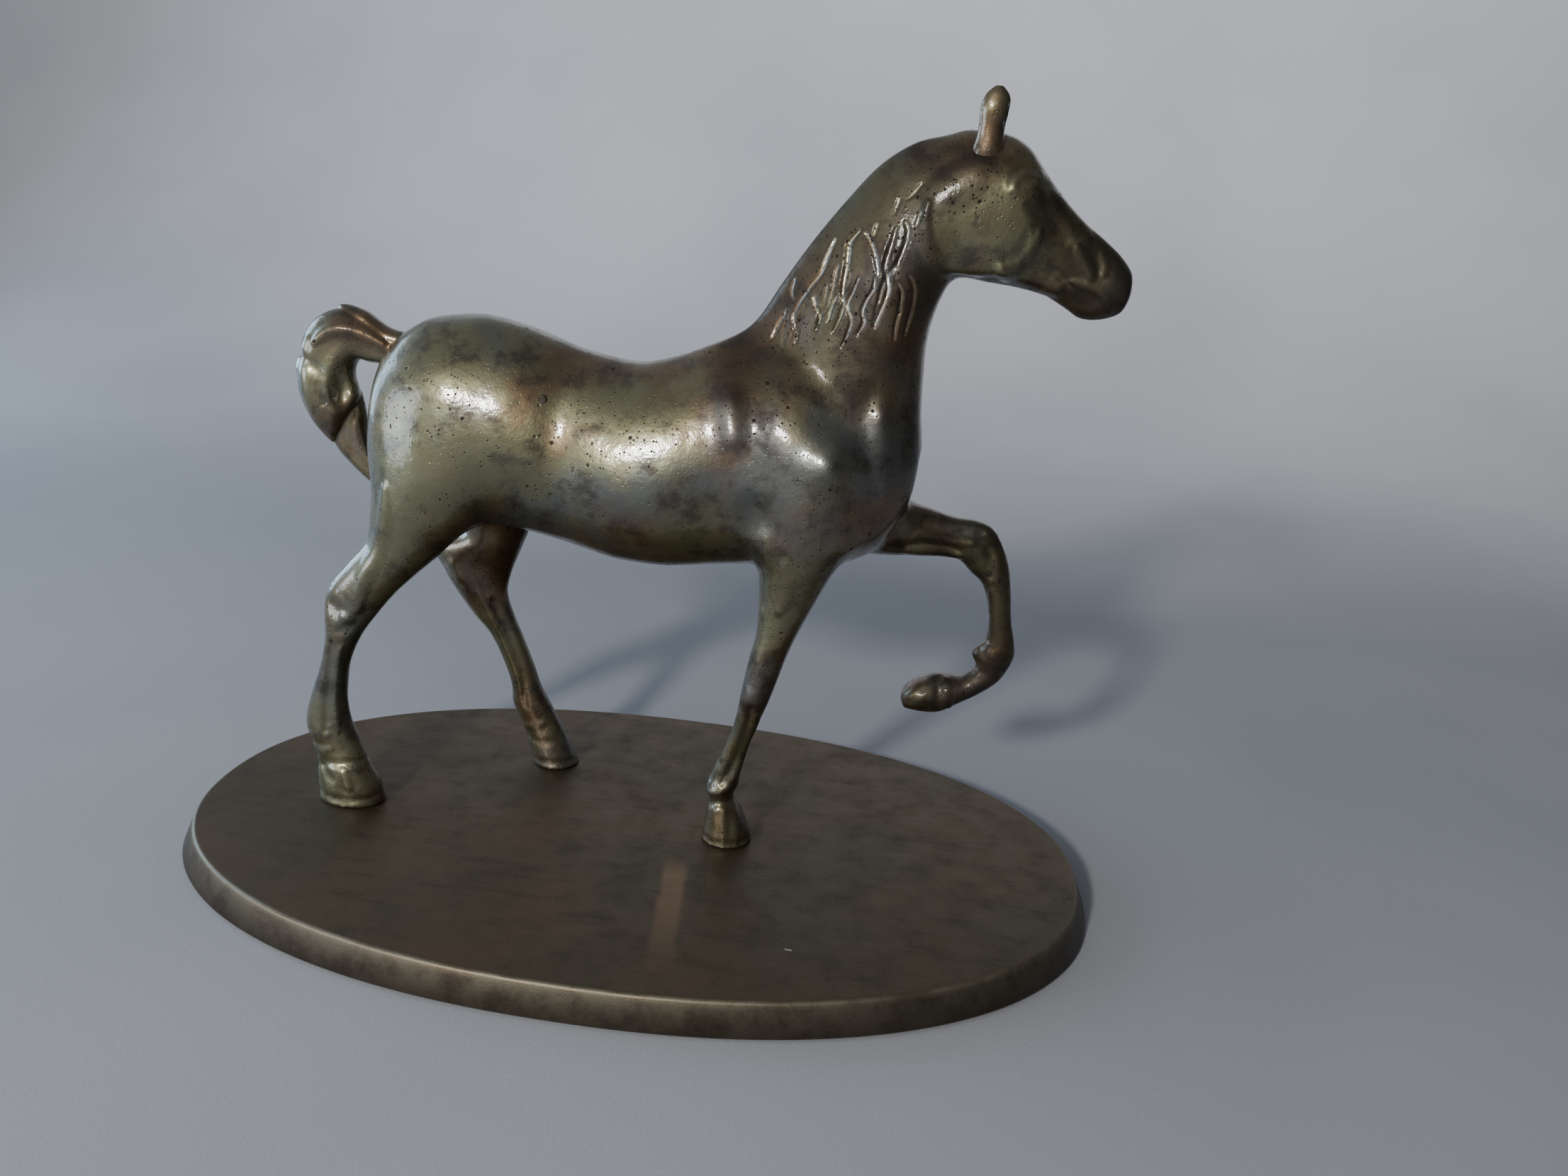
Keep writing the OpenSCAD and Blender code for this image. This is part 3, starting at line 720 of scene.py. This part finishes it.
LEFT_LEG_STROKES = [
    ([(-79.5, 75), (-76, 70)], 3.7, 0.51),
    ([(-72, 72), (-70, 68)], 3.4, -0.51),
    ([(-63, 63), (-57, 50), (-51.8, 36), (-50, 27)], 2.5, -0.59),
    ([(-58.5, 60), (-53.4, 46), (-49.6, 32), (-48, 22)], 2.9, 0.51),
    ([(-49, 14), (-45, 14.4), (-41.6, 16.4)], 2.4, -0.4),
    ([(-49, 10.4), (-43, 9.6), (-38, 9.8), (-33, 10.4)], 2.2, 0.35),
    ([(-47, 2.4), (-30.5, 2.6)], 1.8, 0.4),
    ([(82, 104), (91, 102), (100, 102.2)], 2.9, 0.59),
    ([(80, 100.6), (90, 99.2), (98, 99)], 2.6, -0.42),
    ([(78, 97.2), (86, 98), (93, 96)], 2.6, 0.51),
    ([(77, 94.6), (86, 94.6), (94, 94.2)], 2.6, -0.68),
    ([(100.5, 100.5), (104, 97)], 4.4, 0.59),
    ([(102.8, 97), (103.8, 89)], 2.9, 0.51),
    ([(104.5, 84), (106.6, 74), (107, 66)], 2.1, -0.51),
    ([(103.4, 63.4), (102.8, 60.4)], 3.6, 0.5),
    ([(105.6, 65), (107.8, 63.2)], 2.8, -0.3),
    ([(93.6, 53.4), (95, 48), (95.6, 44)], 2.4, -0.45),
    ([(91.2, 53.8), (92.2, 48), (93, 42.6)], 2, 0.42),
    ([(83, 44.4), (86.8, 49.6)], 2.1, 0.42),
]
TAIL_STROKES = [
    ([(-84, 146), (-90, 148.6), (-96, 149.6), (-101, 148.6), (-105, 145)], 3, -0.6),
    ([(-84, 142.6), (-92, 145.2), (-97.6, 145.6), (-101.6, 142.8), (-103.6, 138),
      (-103.4, 132), (-102.6, 127)], 4.2, 0.7),
    ([(-107.6, 146), (-109, 140), (-108.8, 131), (-107, 124)], 3, -0.5),
    ([(-99.8, 124), (-101.6, 118.4)], 3, -0.5),
    ([(-98.6, 119), (-96, 112), (-91, 106), (-87, 102)], 2.4, 0.4),
    ([(-94.6, 121), (-93.4, 114), (-89.4, 107.6)], 2.2, -0.4),
]
# The boldest locks of the mane on the right of the neck, from the crest down
MANE = [
    ([(68.9, 192.3), (70, 190), (69.6, 186.3), (68.9, 183.5), (68.2, 180.4)], 0.86, 0.45),
    ([(66.6, 190.4), (65.9, 186), (65.1, 182.3), (64.8, 179.4), (65.9, 176.4),
      (66.2, 173.9), (65.2, 170.1), (63.2, 164)], 1.1, 0.54),
    ([(58.4, 188.4), (60.4, 185.6), (62, 182), (63.2, 178)], 0.86, 0.41),
    ([(56.4, 188.8), (54.1, 185.4), (54, 182), (53.8, 177.5), (53.2, 172)], 1.2, 0.59),
    ([(53.4, 172.4), (54.1, 169.1), (53.2, 165), (51.8, 161.4)], 0.86, 0.41),
    ([(49.8, 186), (48.2, 181.7), (46.6, 176.8), (43.4, 172.1), (40.7, 167.6),
      (39.9, 164), (41.4, 159.4)], 0.86, 0.41),
    ([(62.2, 177), (61.9, 173.6), (60.4, 170.6), (59.5, 167.7), (60.2, 164.9),
      (58.8, 161.4)], 0.86, 0.49),
    ([(57.6, 176.4), (56.6, 173), (55.2, 169), (56.6, 165.4), (56, 161.6),
      (54.8, 158)], 0.86, 0.45),
    ([(68.5, 176.4), (69.9, 173.8), (69.9, 169.5), (69.3, 165.6), (69, 161)], 0.86, 0.41),
    ([(71.4, 178.4), (72.9, 176), (73.4, 172.5), (72.9, 167.7), (71.8, 162)], 0.86, 0.33),
    ([(45.2, 170.4), (46.4, 167.3), (47.6, 164.6), (46.6, 161)], 0.86, 0.37),
    ([(51.6, 171), (50.6, 167.7), (50, 164)], 0.86, 0.33),
    ([(66.8, 198), (65.7, 194)], 0.86, 0.33),
    ([(61.4, 191), (60.8, 188)], 0.86, 0.33),
    ([(72.4, 202.2), (70.6, 199.8), (69, 198)], 0.86, 0.29),
    ([(72.9, 194.6), (72.2, 191.6)], 0.86, 0.33),
    ([(37.4, 165.6), (35.5, 162), (34, 157.6)], 0.86, 0.29),
    ([(39, 174.4), (38.3, 171.1), (39.3, 168.8)], 0.86, 0.25),
]


def fine_hair(clay, side, count, seed, height):
    """Short wavy hairs between the bold locks."""
    draw = np.random.default_rng(seed)
    for _ in range(count):
        across, down = draw.uniform(0, 1), draw.uniform(0, 1)
        # Across goes from the crest at the withers up to the throat
        x = 36 + 36 * across
        z = 158 + 34 * across * 0.55 + 24 * down * (0.45 + 0.55 * across)
        length, wave = draw.uniform(6, 13), draw.uniform(-0.9, 0.9)
        line = [(x - 0.18 * t * length + wave * math.sin(4.4 * t + 6 * across), z - t * length)
                for t in np.linspace(0, 1, 5)]
        rise = draw.uniform(-0.5, 1)
        clay.stroke(line, draw.uniform(0.7, 1.0), rise * height, side, max(rise, 0) * 0.5)


def sculpt(clay):
    """All the modelling strokes on the horse, and the strokes that paint its highlights and shade.
    """
    for stroke in BODY_STROKES:
        clay.stroke(*stroke)
    for side, strokes in ((-1, RIGHT_LEG_STROKES), (1, LEFT_LEG_STROKES)):
        for stroke in strokes:
            clay.stroke(*stroke, side)
    clay.settle(4)
    for stroke in HEAD_STROKES:
        clay.stroke(*stroke)
    clay.settle(2)
    # Painted shade on the face, the neck and some legs, which also dulls the wax there
    for line, radius, wear_and_painted_light, side in PAINTED_SHADE:
        clay.stroke(line, radius, 0, side, wear_and_painted_light)
    # The raised hairs carry a painted highlight as well as rubbed wear
    fine_hair(clay, -1, count=22, seed=4, height=0.35)
    fine_hair(clay, 1, count=80, seed=9, height=0.7)
    # Each bold lock carries a painted highlight as well as rubbed wear
    for line, radius, height in MANE:
        clay.stroke(line, radius, height, side=-1, wear_and_painted_light=1.5)
    clay.settle(1)
    clay.done()


# ---- Pieces ----
def everywhere(centre):
    return True


# A point on each seam, the way out of the piece, and the faces that it may cut
SEAMS = {
    "neck": (NECK_SEAM, NECK_UP, everywhere),
    "below neck": (NECK_SEAM, -NECK_UP, everywhere),
    "hind": ((0, 0, HIND_SEAM_Z), (0, 0, -1), lambda c: c.x < 0 and c.z < HIND_SEAM_Z + 4),
    "fore": ((0, 0, FORE_SEAM_Z), (0, 0, -1),
             lambda c: 0 < c.x < RAISED_SEAM_X - 1 and c.z < FORE_SEAM_Z + 2),
    "raised": ((RAISED_SEAM_X, 0, 0), (1, 0, 0), lambda c: c.z < 130 and c.x > 70),
    "above hind": ((0, 0, HIND_SEAM_Z), (0, 0, 1), everywhere),
    "above fore": ((0, 0, FORE_SEAM_Z), (0, 0, 1), everywhere),
    "behind raised": ((RAISED_SEAM_X, 0, 0), (-1, 0, 0), everywhere),
}
# Node, the box it lies in, quad size, and the seams that bound it
CASTINGS = [
    ("torso", (-95, -34, 78), (90, 38, 172), 0.66, ("neck", "hind", "fore", "raised")),
    ("neck_and_head", (8, -24, 112), (136, 24, 220), 0.415, ("below neck",)),
    ("right_hindleg", (-112, -34, -2), (-30, 0, 94), 0.5, ("above hind",)),
    ("left_hindleg", (-90, 0, -2), (-24, 38, 94), 0.5, ("above hind",)),
    ("right_foreleg", (16, -30, -2), (72, 0, 90), 0.5, ("above fore",)),
    ("left_foreleg", (74, 2, 36), (120, 30, 116), 0.5, ("behind raised",)),
]


def build_castings(material):
    """The trunk, the neck with its head, and the legs, all from one field."""
    horse = horse_field()
    for node, low, high, size, seams in CASTINGS:
        clay = Clay(*horse.skin(low, high, size))
        sculpt(clay)
        make_piece(node + "_skin", clay.mesh, [SEAMS[s] for s in seams], material, node)


def build_small(material):
    """The tail and the ears, each with its own finer field."""
    low, high = (-118, -12, 94), (-70, 12, 162)
    field = Field(low, high, 0.4)
    field.add_loft(TAIL_LOCK)
    field.add_ball((-112.8, 0, 136.5), (1.2, 2.2, 3), 2)
    # The lock curls round a deep hollow on each side
    for side, depth in ((-1, 5.4), (1, 6.6)):
        field.add_ball((-97.2, side * 9, 131.4), (3.6, depth, 7), 2.2, carve=True)
        field.add_ball((-93, side * 8.4, 137.5), (5, 5, 2.2), 1.5, carve=True)
    field.add_loft(TAIL_UNDER)
    field.add_loft(TAIL_TOP, 0.4)
    clay = Clay(*field.skin(low, high, 0.42))
    for stroke in TAIL_STROKES:
        clay.stroke(*stroke)
    clay.settle(5)
    clay.done()
    make_piece("tail_skin", clay.mesh, [], material, "tail")
    low, high = (82, -11, 203), (98, 11, 232)
    for side, node in ((1, "right_ear"), (-1, "left_ear")):
        field = Field(low, high, 0.3)
        field.add_loft(EAR, mirror=side < 0)
        # The opening of the ear
        field.add_ball((94.6, side * -7.4, 220), (2.4, 1.3, 4.6), 0.5, carve=True)
        clay = Clay(*field.skin(low, high, 0.33))
        clay.done()
        make_piece(node + "_skin", clay.mesh, [], material, node)


# ---- Base ----
# Millimetres in a metre
MM = 1000.0
OVAL_SQUARENESS = 2.2
EDGE_RADIUS = 1.4
SIDE_FLARE = 3.5


def oval(inward, sides):
    """Points round the oval, some millimetres inward of the plate's foot."""
    angle = np.linspace(0, 2 * np.pi, sides, endpoint=False)
    c, s = np.cos(angle), np.sin(angle)
    a = (plate_high[0] - plate_low[0]) * (MM / 2) - inward
    b = (plate_high[1] - plate_low[1]) * (MM / 2) - inward
    power = 2 / OVAL_SQUARENESS
    return np.stack((a * np.sign(c) * np.abs(c)**power, b * np.sign(s) * np.abs(s)**power), -1)


def ring_mesh(name, rings):
    """A closed smooth mesh through rings of equal length, with capped ends."""
    count, sides = len(rings), len(rings[0])
    mesh = bpy.data.meshes.new(name)
    corners = np.arange(count * sides).tolist()
    faces = ring_quads(count, sides).tolist() + [corners[sides - 1::-1], corners[-sides:]]
    mesh.from_pydata((np.concatenate(rings) / MM).tolist(), [], faces)
    smooth_faces(mesh)
    return mesh


def place_piece(name, mesh, node, material):
    """One piece of the base, in place of its CAD node."""
    mesh.materials.append(material)
    piece = add_object(name, mesh)
    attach(piece, "root")
    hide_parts(node)


def build_base(material):
    """The oval plate: a felt recess below, a flared side, and a rounded top edge."""
    bottom, top, recess = plate_low[2] * MM, plate_high[2] * MM, felt_high[2] * MM
    # Going round the section: height, how far in from the foot, and how worn
    section = [(recess, 16.0, 0), (recess, 9.2, 0), (recess - 0.1, 8.7, 0), (bottom, 8.7, 0),
               (bottom, 0.8, 0), (bottom + 0.25, 0.2, 0.6), (bottom + 0.8, 0.0, 0.2)]
    for a in np.linspace(15, 90, 8):
        turn = math.radians(a)
        section.append((top - EDGE_RADIUS * (1 - math.sin(turn)),
                        SIDE_FLARE + EDGE_RADIUS * (0.6 - math.cos(turn)), math.sin(2 * turn)))
    for inward in (5.2, 6.4, 8, 12, 18, 26, 36, 48, 60, 72):
        section.append((top, inward, 0))
    sides = 384
    rings = [np.column_stack((oval(inward, sides), np.full(sides, z)))
             for z, inward, _ in section]
    mesh = ring_mesh("base_plate_skin", rings)
    store(mesh, "relief", "FLOAT", np.repeat([w for _, _, w in section], sides))
    place_piece("base_plate_skin", mesh, "base_plate", material)


def build_felt(material):
    """The felt pad, with soft cut edges and a nap that is nowhere quite even."""
    low, high = felt_low[2] * MM, felt_high[2] * MM
    draw = np.random.default_rng(12)
    sides = 720
    wander = np.cumsum(draw.normal(0, 1, sides))
    wander -= np.linspace(wander[0], wander[-1], sides)
    wander *= 0.25 / np.abs(wander).max()
    rings = []
    inset = (plate_high[0] - felt_high[0]) * MM
    for height, inward in ((1, 20), (1, 6), (1, 1), (0.93, 0.35), (0.8, 0.1), (0.5, 0), (0.2, 0.1),
                           (0.07, 0.35), (0, 1), (0, 3), (0, 6), (0, 12), (0, 20), (0, 30),
                           (0, 42), (0, 55), (0, 68)):
        flat = oval(inset + inward, sides)
        out = flat / np.linalg.norm(flat, axis=1)[:, None]
        edge = math.exp(-inward / 2)
        z = low + height * (high - low) + draw.uniform(0, 0.06, sides) * (0.5 - height)
        rings.append(np.column_stack((flat + out * (wander[:, None] * edge - 0.2), z)))
    place_piece("felt_pad", ring_mesh("felt_pad", rings[::-1]), "base_felt", material)


# ---- Materials ----
class Nodes:
    """Short calls for building one node tree that ends in a shader."""

    def __init__(self, owner, shader="Principled BSDF"):
        owner.use_nodes = True
        self.owner = owner
        self.tree = owner.node_tree
        self.shader = self.tree.nodes[shader]
        self.places = self.add("ShaderNodeTexCoord").outputs
        self.place = self.places["Object"]

    def add(self, kind, sockets=None, **values):
        """A new node, with its inputs and its settings."""
        node = self.tree.nodes.new(kind)
        for key, value in values.items():
            setattr(node, key, value)
        self.feed(node, sockets or {})
        return node

    def feed(self, node, sockets):
        """Links each named input of a node to another's output, or sets its value."""
        for key, value in sockets.items():
            socket = node.inputs[key]
            if isinstance(value, bpy.types.NodeSocket):
                self.tree.links.new(value, socket)
            else:
                socket.default_value = value + (1.0,) if socket.type == "RGBA" else value

    def noise(self, scale, detail=4, roughness=0.6, place=None):
        return self.add("ShaderNodeTexNoise", {
            "Scale": scale, "Detail": detail, "Roughness": roughness,
            "Vector": place or self.place}).outputs["Fac"]

    def pits(self, scale, bare, radius):
        """Round pits, 1 in the pit and 0 round it. Bare is the share of cells without."""
        node = self.add("ShaderNodeTexVoronoi", {"Scale": scale, "Vector": self.place})
        cell = self.add("ShaderNodeSeparateColor", {"Color": node.outputs["Color"]})
        chosen = self.math("GREATER_THAN", cell.outputs["Red"], bare)
        size = self.times(cell.outputs["Green"], radius)
        hole = self.range(self.minus(node.outputs["Distance"], size), 0.1, -0.04)
        return self.times(hole, chosen)

    def stretch(self, x, y, z):
        sockets = {"Scale": (x, y, z), "Vector": self.place}
        return self.add("ShaderNodeMapping", sockets).outputs["Vector"]

    def range(self, value, low, high, out_low=0.0, out_high=1.0, kind="SMOOTHSTEP"):
        """A value brought from one range to another."""
        return self.add("ShaderNodeMapRange", {
            "Value": value, "From Min": low, "From Max": high, "To Min": out_low,
            "To Max": out_high}, interpolation_type=kind).outputs["Result"]

    def math(self, operation, a, b=0.0):
        return self.add("ShaderNodeMath", {0: a, 1: b}, operation=operation).outputs[0]

    def times(self, a, b):
        return self.math("MULTIPLY", a, b)

    def minus(self, a, b):
        return self.math("SUBTRACT", a, b)

    def mix(self, fac, a, b):
        return self.add("ShaderNodeMix", {0: fac, 6: a, 7: b}, data_type="RGBA").outputs[2]

    def bump(self, height, strength, distance, under=None):
        sockets = {"Strength": strength, "Distance": distance, "Height": height}
        if under:
            sockets["Normal"] = under
        return self.add("ShaderNodeBump", sockets).outputs["Normal"]

    def relief(self):
        """The piece's own ridges above 0 and hollows below; on the horse with painted highlights
        and painted shade added.
        """
        return self.add("ShaderNodeAttribute", attribute_name="relief").outputs["Fac"]

    def finish(self, color, roughness, normal, metallic, more=None):
        self.feed(self.shader, {"Base Color": color, "Roughness": roughness, "Normal": normal,
                                "Metallic": metallic, **(more or {})})
        return self.owner


def material_nodes(name):
    return Nodes(bpy.data.materials.new(name))


def horse_bronze():
    """Olive-brown patina over bronze, waxed, rubbed on its ridges and finely pitted, with painted
    highlights on the mane and painted shade where the strokes darken it.
    """
    n = material_nodes("horse_bronze")
    cloudy = n.noise(95, 6, 0.68)
    grain = n.noise(1500, 3, 0.6)
    olive, brown = (0.128, 0.122, 0.066), (0.118, 0.074, 0.038)
    slate, dark = (0.072, 0.086, 0.098), (0.024, 0.018, 0.013)
    brass = (0.72, 0.66, 0.5)
    color = n.mix(n.range(n.noise(26, 4, 0.6), 0.4, 0.58), brown, olive)
    color = n.mix(n.range(n.noise(19, 3, 0.55), 0.5, 0.64, 0.0, 0.7), color, slate)
    color = n.mix(n.range(cloudy, 0.46, 0.66, 0, 0.8), color, dark)
    color = n.mix(n.range(cloudy, 0.46, 0.3, 0, 0.4), color, (0.2, 0.18, 0.115))
    relief = n.relief()
    # Brass on the ridges: rubbed wear, and on the mane a painted highlight
    ridge = n.range(relief, 0.55, 1.3)
    color = n.mix(n.times(ridge, 0.8), color, brass)
    # Darker in the hollows: patina, and painted shade where the strokes darken the face, neck and
    # legs
    color = n.mix(n.range(relief, -0.2, -1.1, 0, 0.75), color, dark)
    dull = n.range(relief, -0.2, -0.8)
    # Pits, thicker in some patches than in others
    patches = n.range(n.noise(34, 4, 0.65), 0.38, 0.54)
    fine = n.times(n.pits(900, 0.42, 0.28), patches)
    coarse = n.times(n.pits(430, 0.86, 0.26), n.range(patches, 0, 1.0, 0.2, 1.0))
    pitted = n.math("MAXIMUM", fine, coarse)
    color = n.mix(n.times(pitted, 0.9), color, dark)
    rough = n.range(cloudy, 0.3, 0.7, 0.33, 0.47)
    rough = n.math("ADD", rough, n.times(pitted, 0.3))
    rough = n.math("ADD", rough, n.times(dull, 0.12))
    rough = n.minus(rough, n.times(ridge, 0.12))
    dent = n.minus(n.times(grain, 0.3), pitted)
    normal = n.bump(dent, 0.4, 0.0002)
    normal = n.bump(n.noise(260, 4, 0.6), 0.35, 0.0004, normal)
    waxed = n.minus(1.0, n.times(pitted, 0.9))
    waxed = n.minus(waxed, n.times(dull, 0.8))
    return n.finish(color, rough, normal, 0.8, {
        "Coat Weight": n.math("MAXIMUM", waxed), "Coat Normal": normal,
        "Coat Roughness": n.math("ADD", 0.11, n.times(pitted, 0.6))})


# Where the tan streak and the light scratch lie on the base, in metres
STREAK_X = 0.017
SCRATCH_X, SCRATCH_Y = 0.0583, -0.0562


def base_bronze():
    """Dark brown patina, brushed lengthways, with a tan streak, rubbed edges and painted shade on
    its side.
    """
    n = material_nodes("base_bronze")
    broad = n.noise(22, 3, 0.55)
    cloudy = n.noise(90, 6, 0.7)
    grain = n.noise(1900, 4, 0.7)
    brushed = n.noise(160, 5, 0.7, n.stretch(0.25, 1.6, 1))
    brown, umber, dark = (0.1, 0.07, 0.042), (0.076, 0.063, 0.038), (0.03, 0.021, 0.015)
    color = n.mix(n.range(broad, 0.35, 0.65), brown, umber)
    color = n.mix(n.range(brushed, 0.5, 0.75, 0, 0.5), color, dark)
    color = n.mix(n.range(cloudy, 0.5, 0.8, 0, 0.5), color, dark)
    color = n.mix(n.range(grain, 0.45, 0.7, 0, 0.35), color, (0.15, 0.115, 0.085))
    # A tan streak runs from the right forefoot to the near edge, beside a light scratch
    x, y, z = n.add("ShaderNodeSeparateXYZ", {0: n.place}).outputs
    across = n.math("ADD", n.math("ADD", x, n.times(y, 0.14)), n.times(cloudy, 0.003))
    streak = n.range(n.math("ABSOLUTE", n.minus(across, STREAK_X)), 0.0046, 0.0024)
    length = n.times(n.range(y, -0.015, -0.027), n.range(y, -0.085, -0.03))
    length = n.times(length, n.range(cloudy, 0.3, 0.55, 0.5, 1.0))
    color = n.mix(n.times(streak, length), color, (0.2, 0.13, 0.078))
    along = n.range(n.math("ABSOLUTE", n.minus(x, SCRATCH_X)), 0.0012, 0.0008)
    beside = n.range(n.math("ABSOLUTE", n.minus(y, SCRATCH_Y)), 0.0004, 0.0002)
    scratch = n.times(along, beside)
    color = n.mix(scratch, color, (0.5, 0.46, 0.4))
    # Painted shade: the plate's side is darker below the rounded top edge
    side = n.range(z, plate_high[2] - 0.0008, plate_high[2] - 0.0022, 0, 0.85)
    color = n.mix(side, color, dark)
    relief = n.relief()
    worn = n.times(relief, n.range(cloudy, 0.3, 0.6, 0.3, 1.0))
    color = n.mix(worn, color, (0.17, 0.15, 0.11))
    rough = n.range(cloudy, 0.3, 0.7, 0.4, 0.56)
    normal = n.bump(grain, 0.3, 0.0002)
    normal = n.bump(brushed, 0.25, 0.0003, normal)
    return n.finish(color, rough, normal, 0.8)


def felt_cloth():
    """Dark green felt, its fibres lying every way."""
    n = material_nodes("felt")
    fibre = n.noise(2400, 6, 0.75)
    clump = n.noise(240, 4, 0.6)
    color = n.mix(n.range(fibre, 0.3, 0.7), (0.008, 0.03, 0.018), (0.02, 0.075, 0.045))
    color = n.mix(n.range(clump, 0.4, 0.75, 0, 0.4), color, (0.03, 0.09, 0.055))
    normal = n.bump(fibre, 0.8, 0.0005)
    rough = n.range(fibre, 0.2, 0.8, 0.85, 1.0)
    return n.finish(color, rough, normal, 0.0, {"Sheen Weight": 0.4})


def turned_steel():
    """Bright steel with fine turning marks and some stain."""
    n = material_nodes("steel")
    rings = n.noise(900, 3, 0.6, n.stretch(1, 1, 12))
    stain = n.noise(300, 4, 0.6)
    color = n.mix(n.range(rings, 0.3, 0.7), (0.42, 0.42, 0.41), (0.55, 0.55, 0.53))
    color = n.mix(n.range(stain, 0.5, 0.75, 0, 0.5), color, (0.2, 0.17, 0.14))
    return n.finish(color, n.range(rings, 0.3, 0.7, 0.25, 0.42), n.bump(rings, 0.2, 0.0001), 1.0)


def plug_bronze():
    """Filed plugs, left darker than the skin round them."""
    n = material_nodes("plug_bronze")
    grain = n.noise(1600, 4, 0.7)
    cloudy = n.noise(500, 4, 0.6)
    color = n.mix(n.range(cloudy, 0.35, 0.65), (0.03, 0.024, 0.018), (0.07, 0.055, 0.038))
    return n.finish(color, n.range(grain, 0.3, 0.7, 0.5, 0.7), n.bump(grain, 0.5, 0.0002), 0.7)


# ---- Staging ----
SHEET_REACH = 12.0
CAMERA_LENS = 29.3
CAMERA_AT = Vector((0.089, -0.3577, 0.2127))
CAMERA_AZIMUTH, CAMERA_ELEVATION, CAMERA_ROLL = (math.radians(a) for a in (7.32, 18.0, 3.92))


def stage():
    """The light of the room, the sheet, the lamps and the camera."""
    world = bpy.data.worlds.new("studio")
    bpy.context.scene.world = world
    n = Nodes(world, "Background")
    toward = n.add("ShaderNodeSeparateXYZ", {0: n.places["Generated"]}).outputs["X"]
    n.feed(n.shader, {"Strength": n.range(toward, 0.8, -0.9, 0.1, 0.5, "LINEAR"),
                      "Color": (0.9, 0.94, 1.0)})

    # A sheet that lies flat under the object and sweeps up far behind it
    far, bend = 0.62, 0.5
    sweep = [(-SHEET_REACH, 0.0), (far, 0.0)]
    for a in np.linspace(6, 90, 15):
        turn = math.radians(a)
        sweep.append((far + bend * math.sin(turn), bend * (1 - math.cos(turn))))
    sweep.append((far + bend, 1.0))
    mesh = bpy.data.meshes.new("floor")
    mesh.from_pydata([(x, y, z) for y, z in sweep for x in (-SHEET_REACH, SHEET_REACH)], [],
                     [(2 * i, 2 * i + 1, 2 * i + 3, 2 * i + 2) for i in range(len(sweep) - 1)])
    smooth_faces(mesh)
    floor = add_object("floor", mesh)
    floor.location.z = cad_box[0][2]
    n = material_nodes("floor")
    weave = n.noise(700, 4, 0.6)
    broad = n.noise(3, 3, 0.5)
    color = n.mix(n.range(broad, 0.3, 0.7), (0.26, 0.265, 0.29), (0.31, 0.315, 0.34))
    mesh.materials.append(
        n.finish(color, n.range(weave, 0, 1, 0.8, 0.95), n.bump(weave, 0.2, 0.0004), 0.0))

    def area(name, at, aim, size, power, tint):
        light = bpy.data.lights.new(name, "AREA")
        light.shape = "RECTANGLE"
        light.size, light.size_y = size
        light.energy = power
        light.color = tint
        lamp = add_object(name, light)
        lamp.location = at
        lamp.visible_camera = False
        lamp.rotation_euler = (Vector(aim) - Vector(at)).to_track_quat("-Z", "Y").to_euler()

    area("window", (-0.36, -1.2, 0.65), (0, 0, 0.13), (0.12, 0.12), 15.5, (1.0, 0.98, 0.93))
    area("room", (-0.66, -0.42, 0.2), (-0.05, 0, 0.08), (0.4, 0.3), 2.6, (0.78, 0.88, 1.0))
    area("sky", (-1.1, 0.32, 0.36), (0, 0, 0.1), (0.6, 0.6), 7.0, (0.5, 0.74, 1.0))
    area("backdrop", (0.1, 0.5, 0.85), (0.1, 1.12, 0.7), (1.8, 0.4), 15.0, (1.0, 0.99, 0.97))

    a, e, roll = CAMERA_AZIMUTH, CAMERA_ELEVATION, CAMERA_ROLL
    back = Vector((math.sin(a) * math.cos(e), -math.cos(a) * math.cos(e), math.sin(e)))
    level = Vector((0, 0, 1)).cross(back).normalized()
    rise = back.cross(level)
    right = level * math.cos(roll) + rise * math.sin(roll)
    up = back.cross(right)
    data = bpy.data.cameras.new("camera")
    data.lens = CAMERA_LENS
    data.sensor_width = 36
    data.clip_start = 0.01
    camera = add_object("camera", data)
    camera.matrix_world = Matrix.Translation(CAMERA_AT) @ Matrix(
        (right, up, back)).transposed().to_4x4()
    bpy.context.scene.camera = camera


def main():
    horse = horse_bronze()
    build_castings(horse)
    build_small(horse)
    build_base(base_bronze())
    build_felt(felt_cloth())
    steel, plug = turned_steel(), plug_bronze()
    for node in ("hoof_screws", "hoof_washers", "leg_pins", "neck_pins", "tail_pin", "core_plugs"):
        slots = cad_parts[node].data.materials
        slots.clear()
        slots.append(plug if node == "core_plugs" else steel)
    stage()


main()
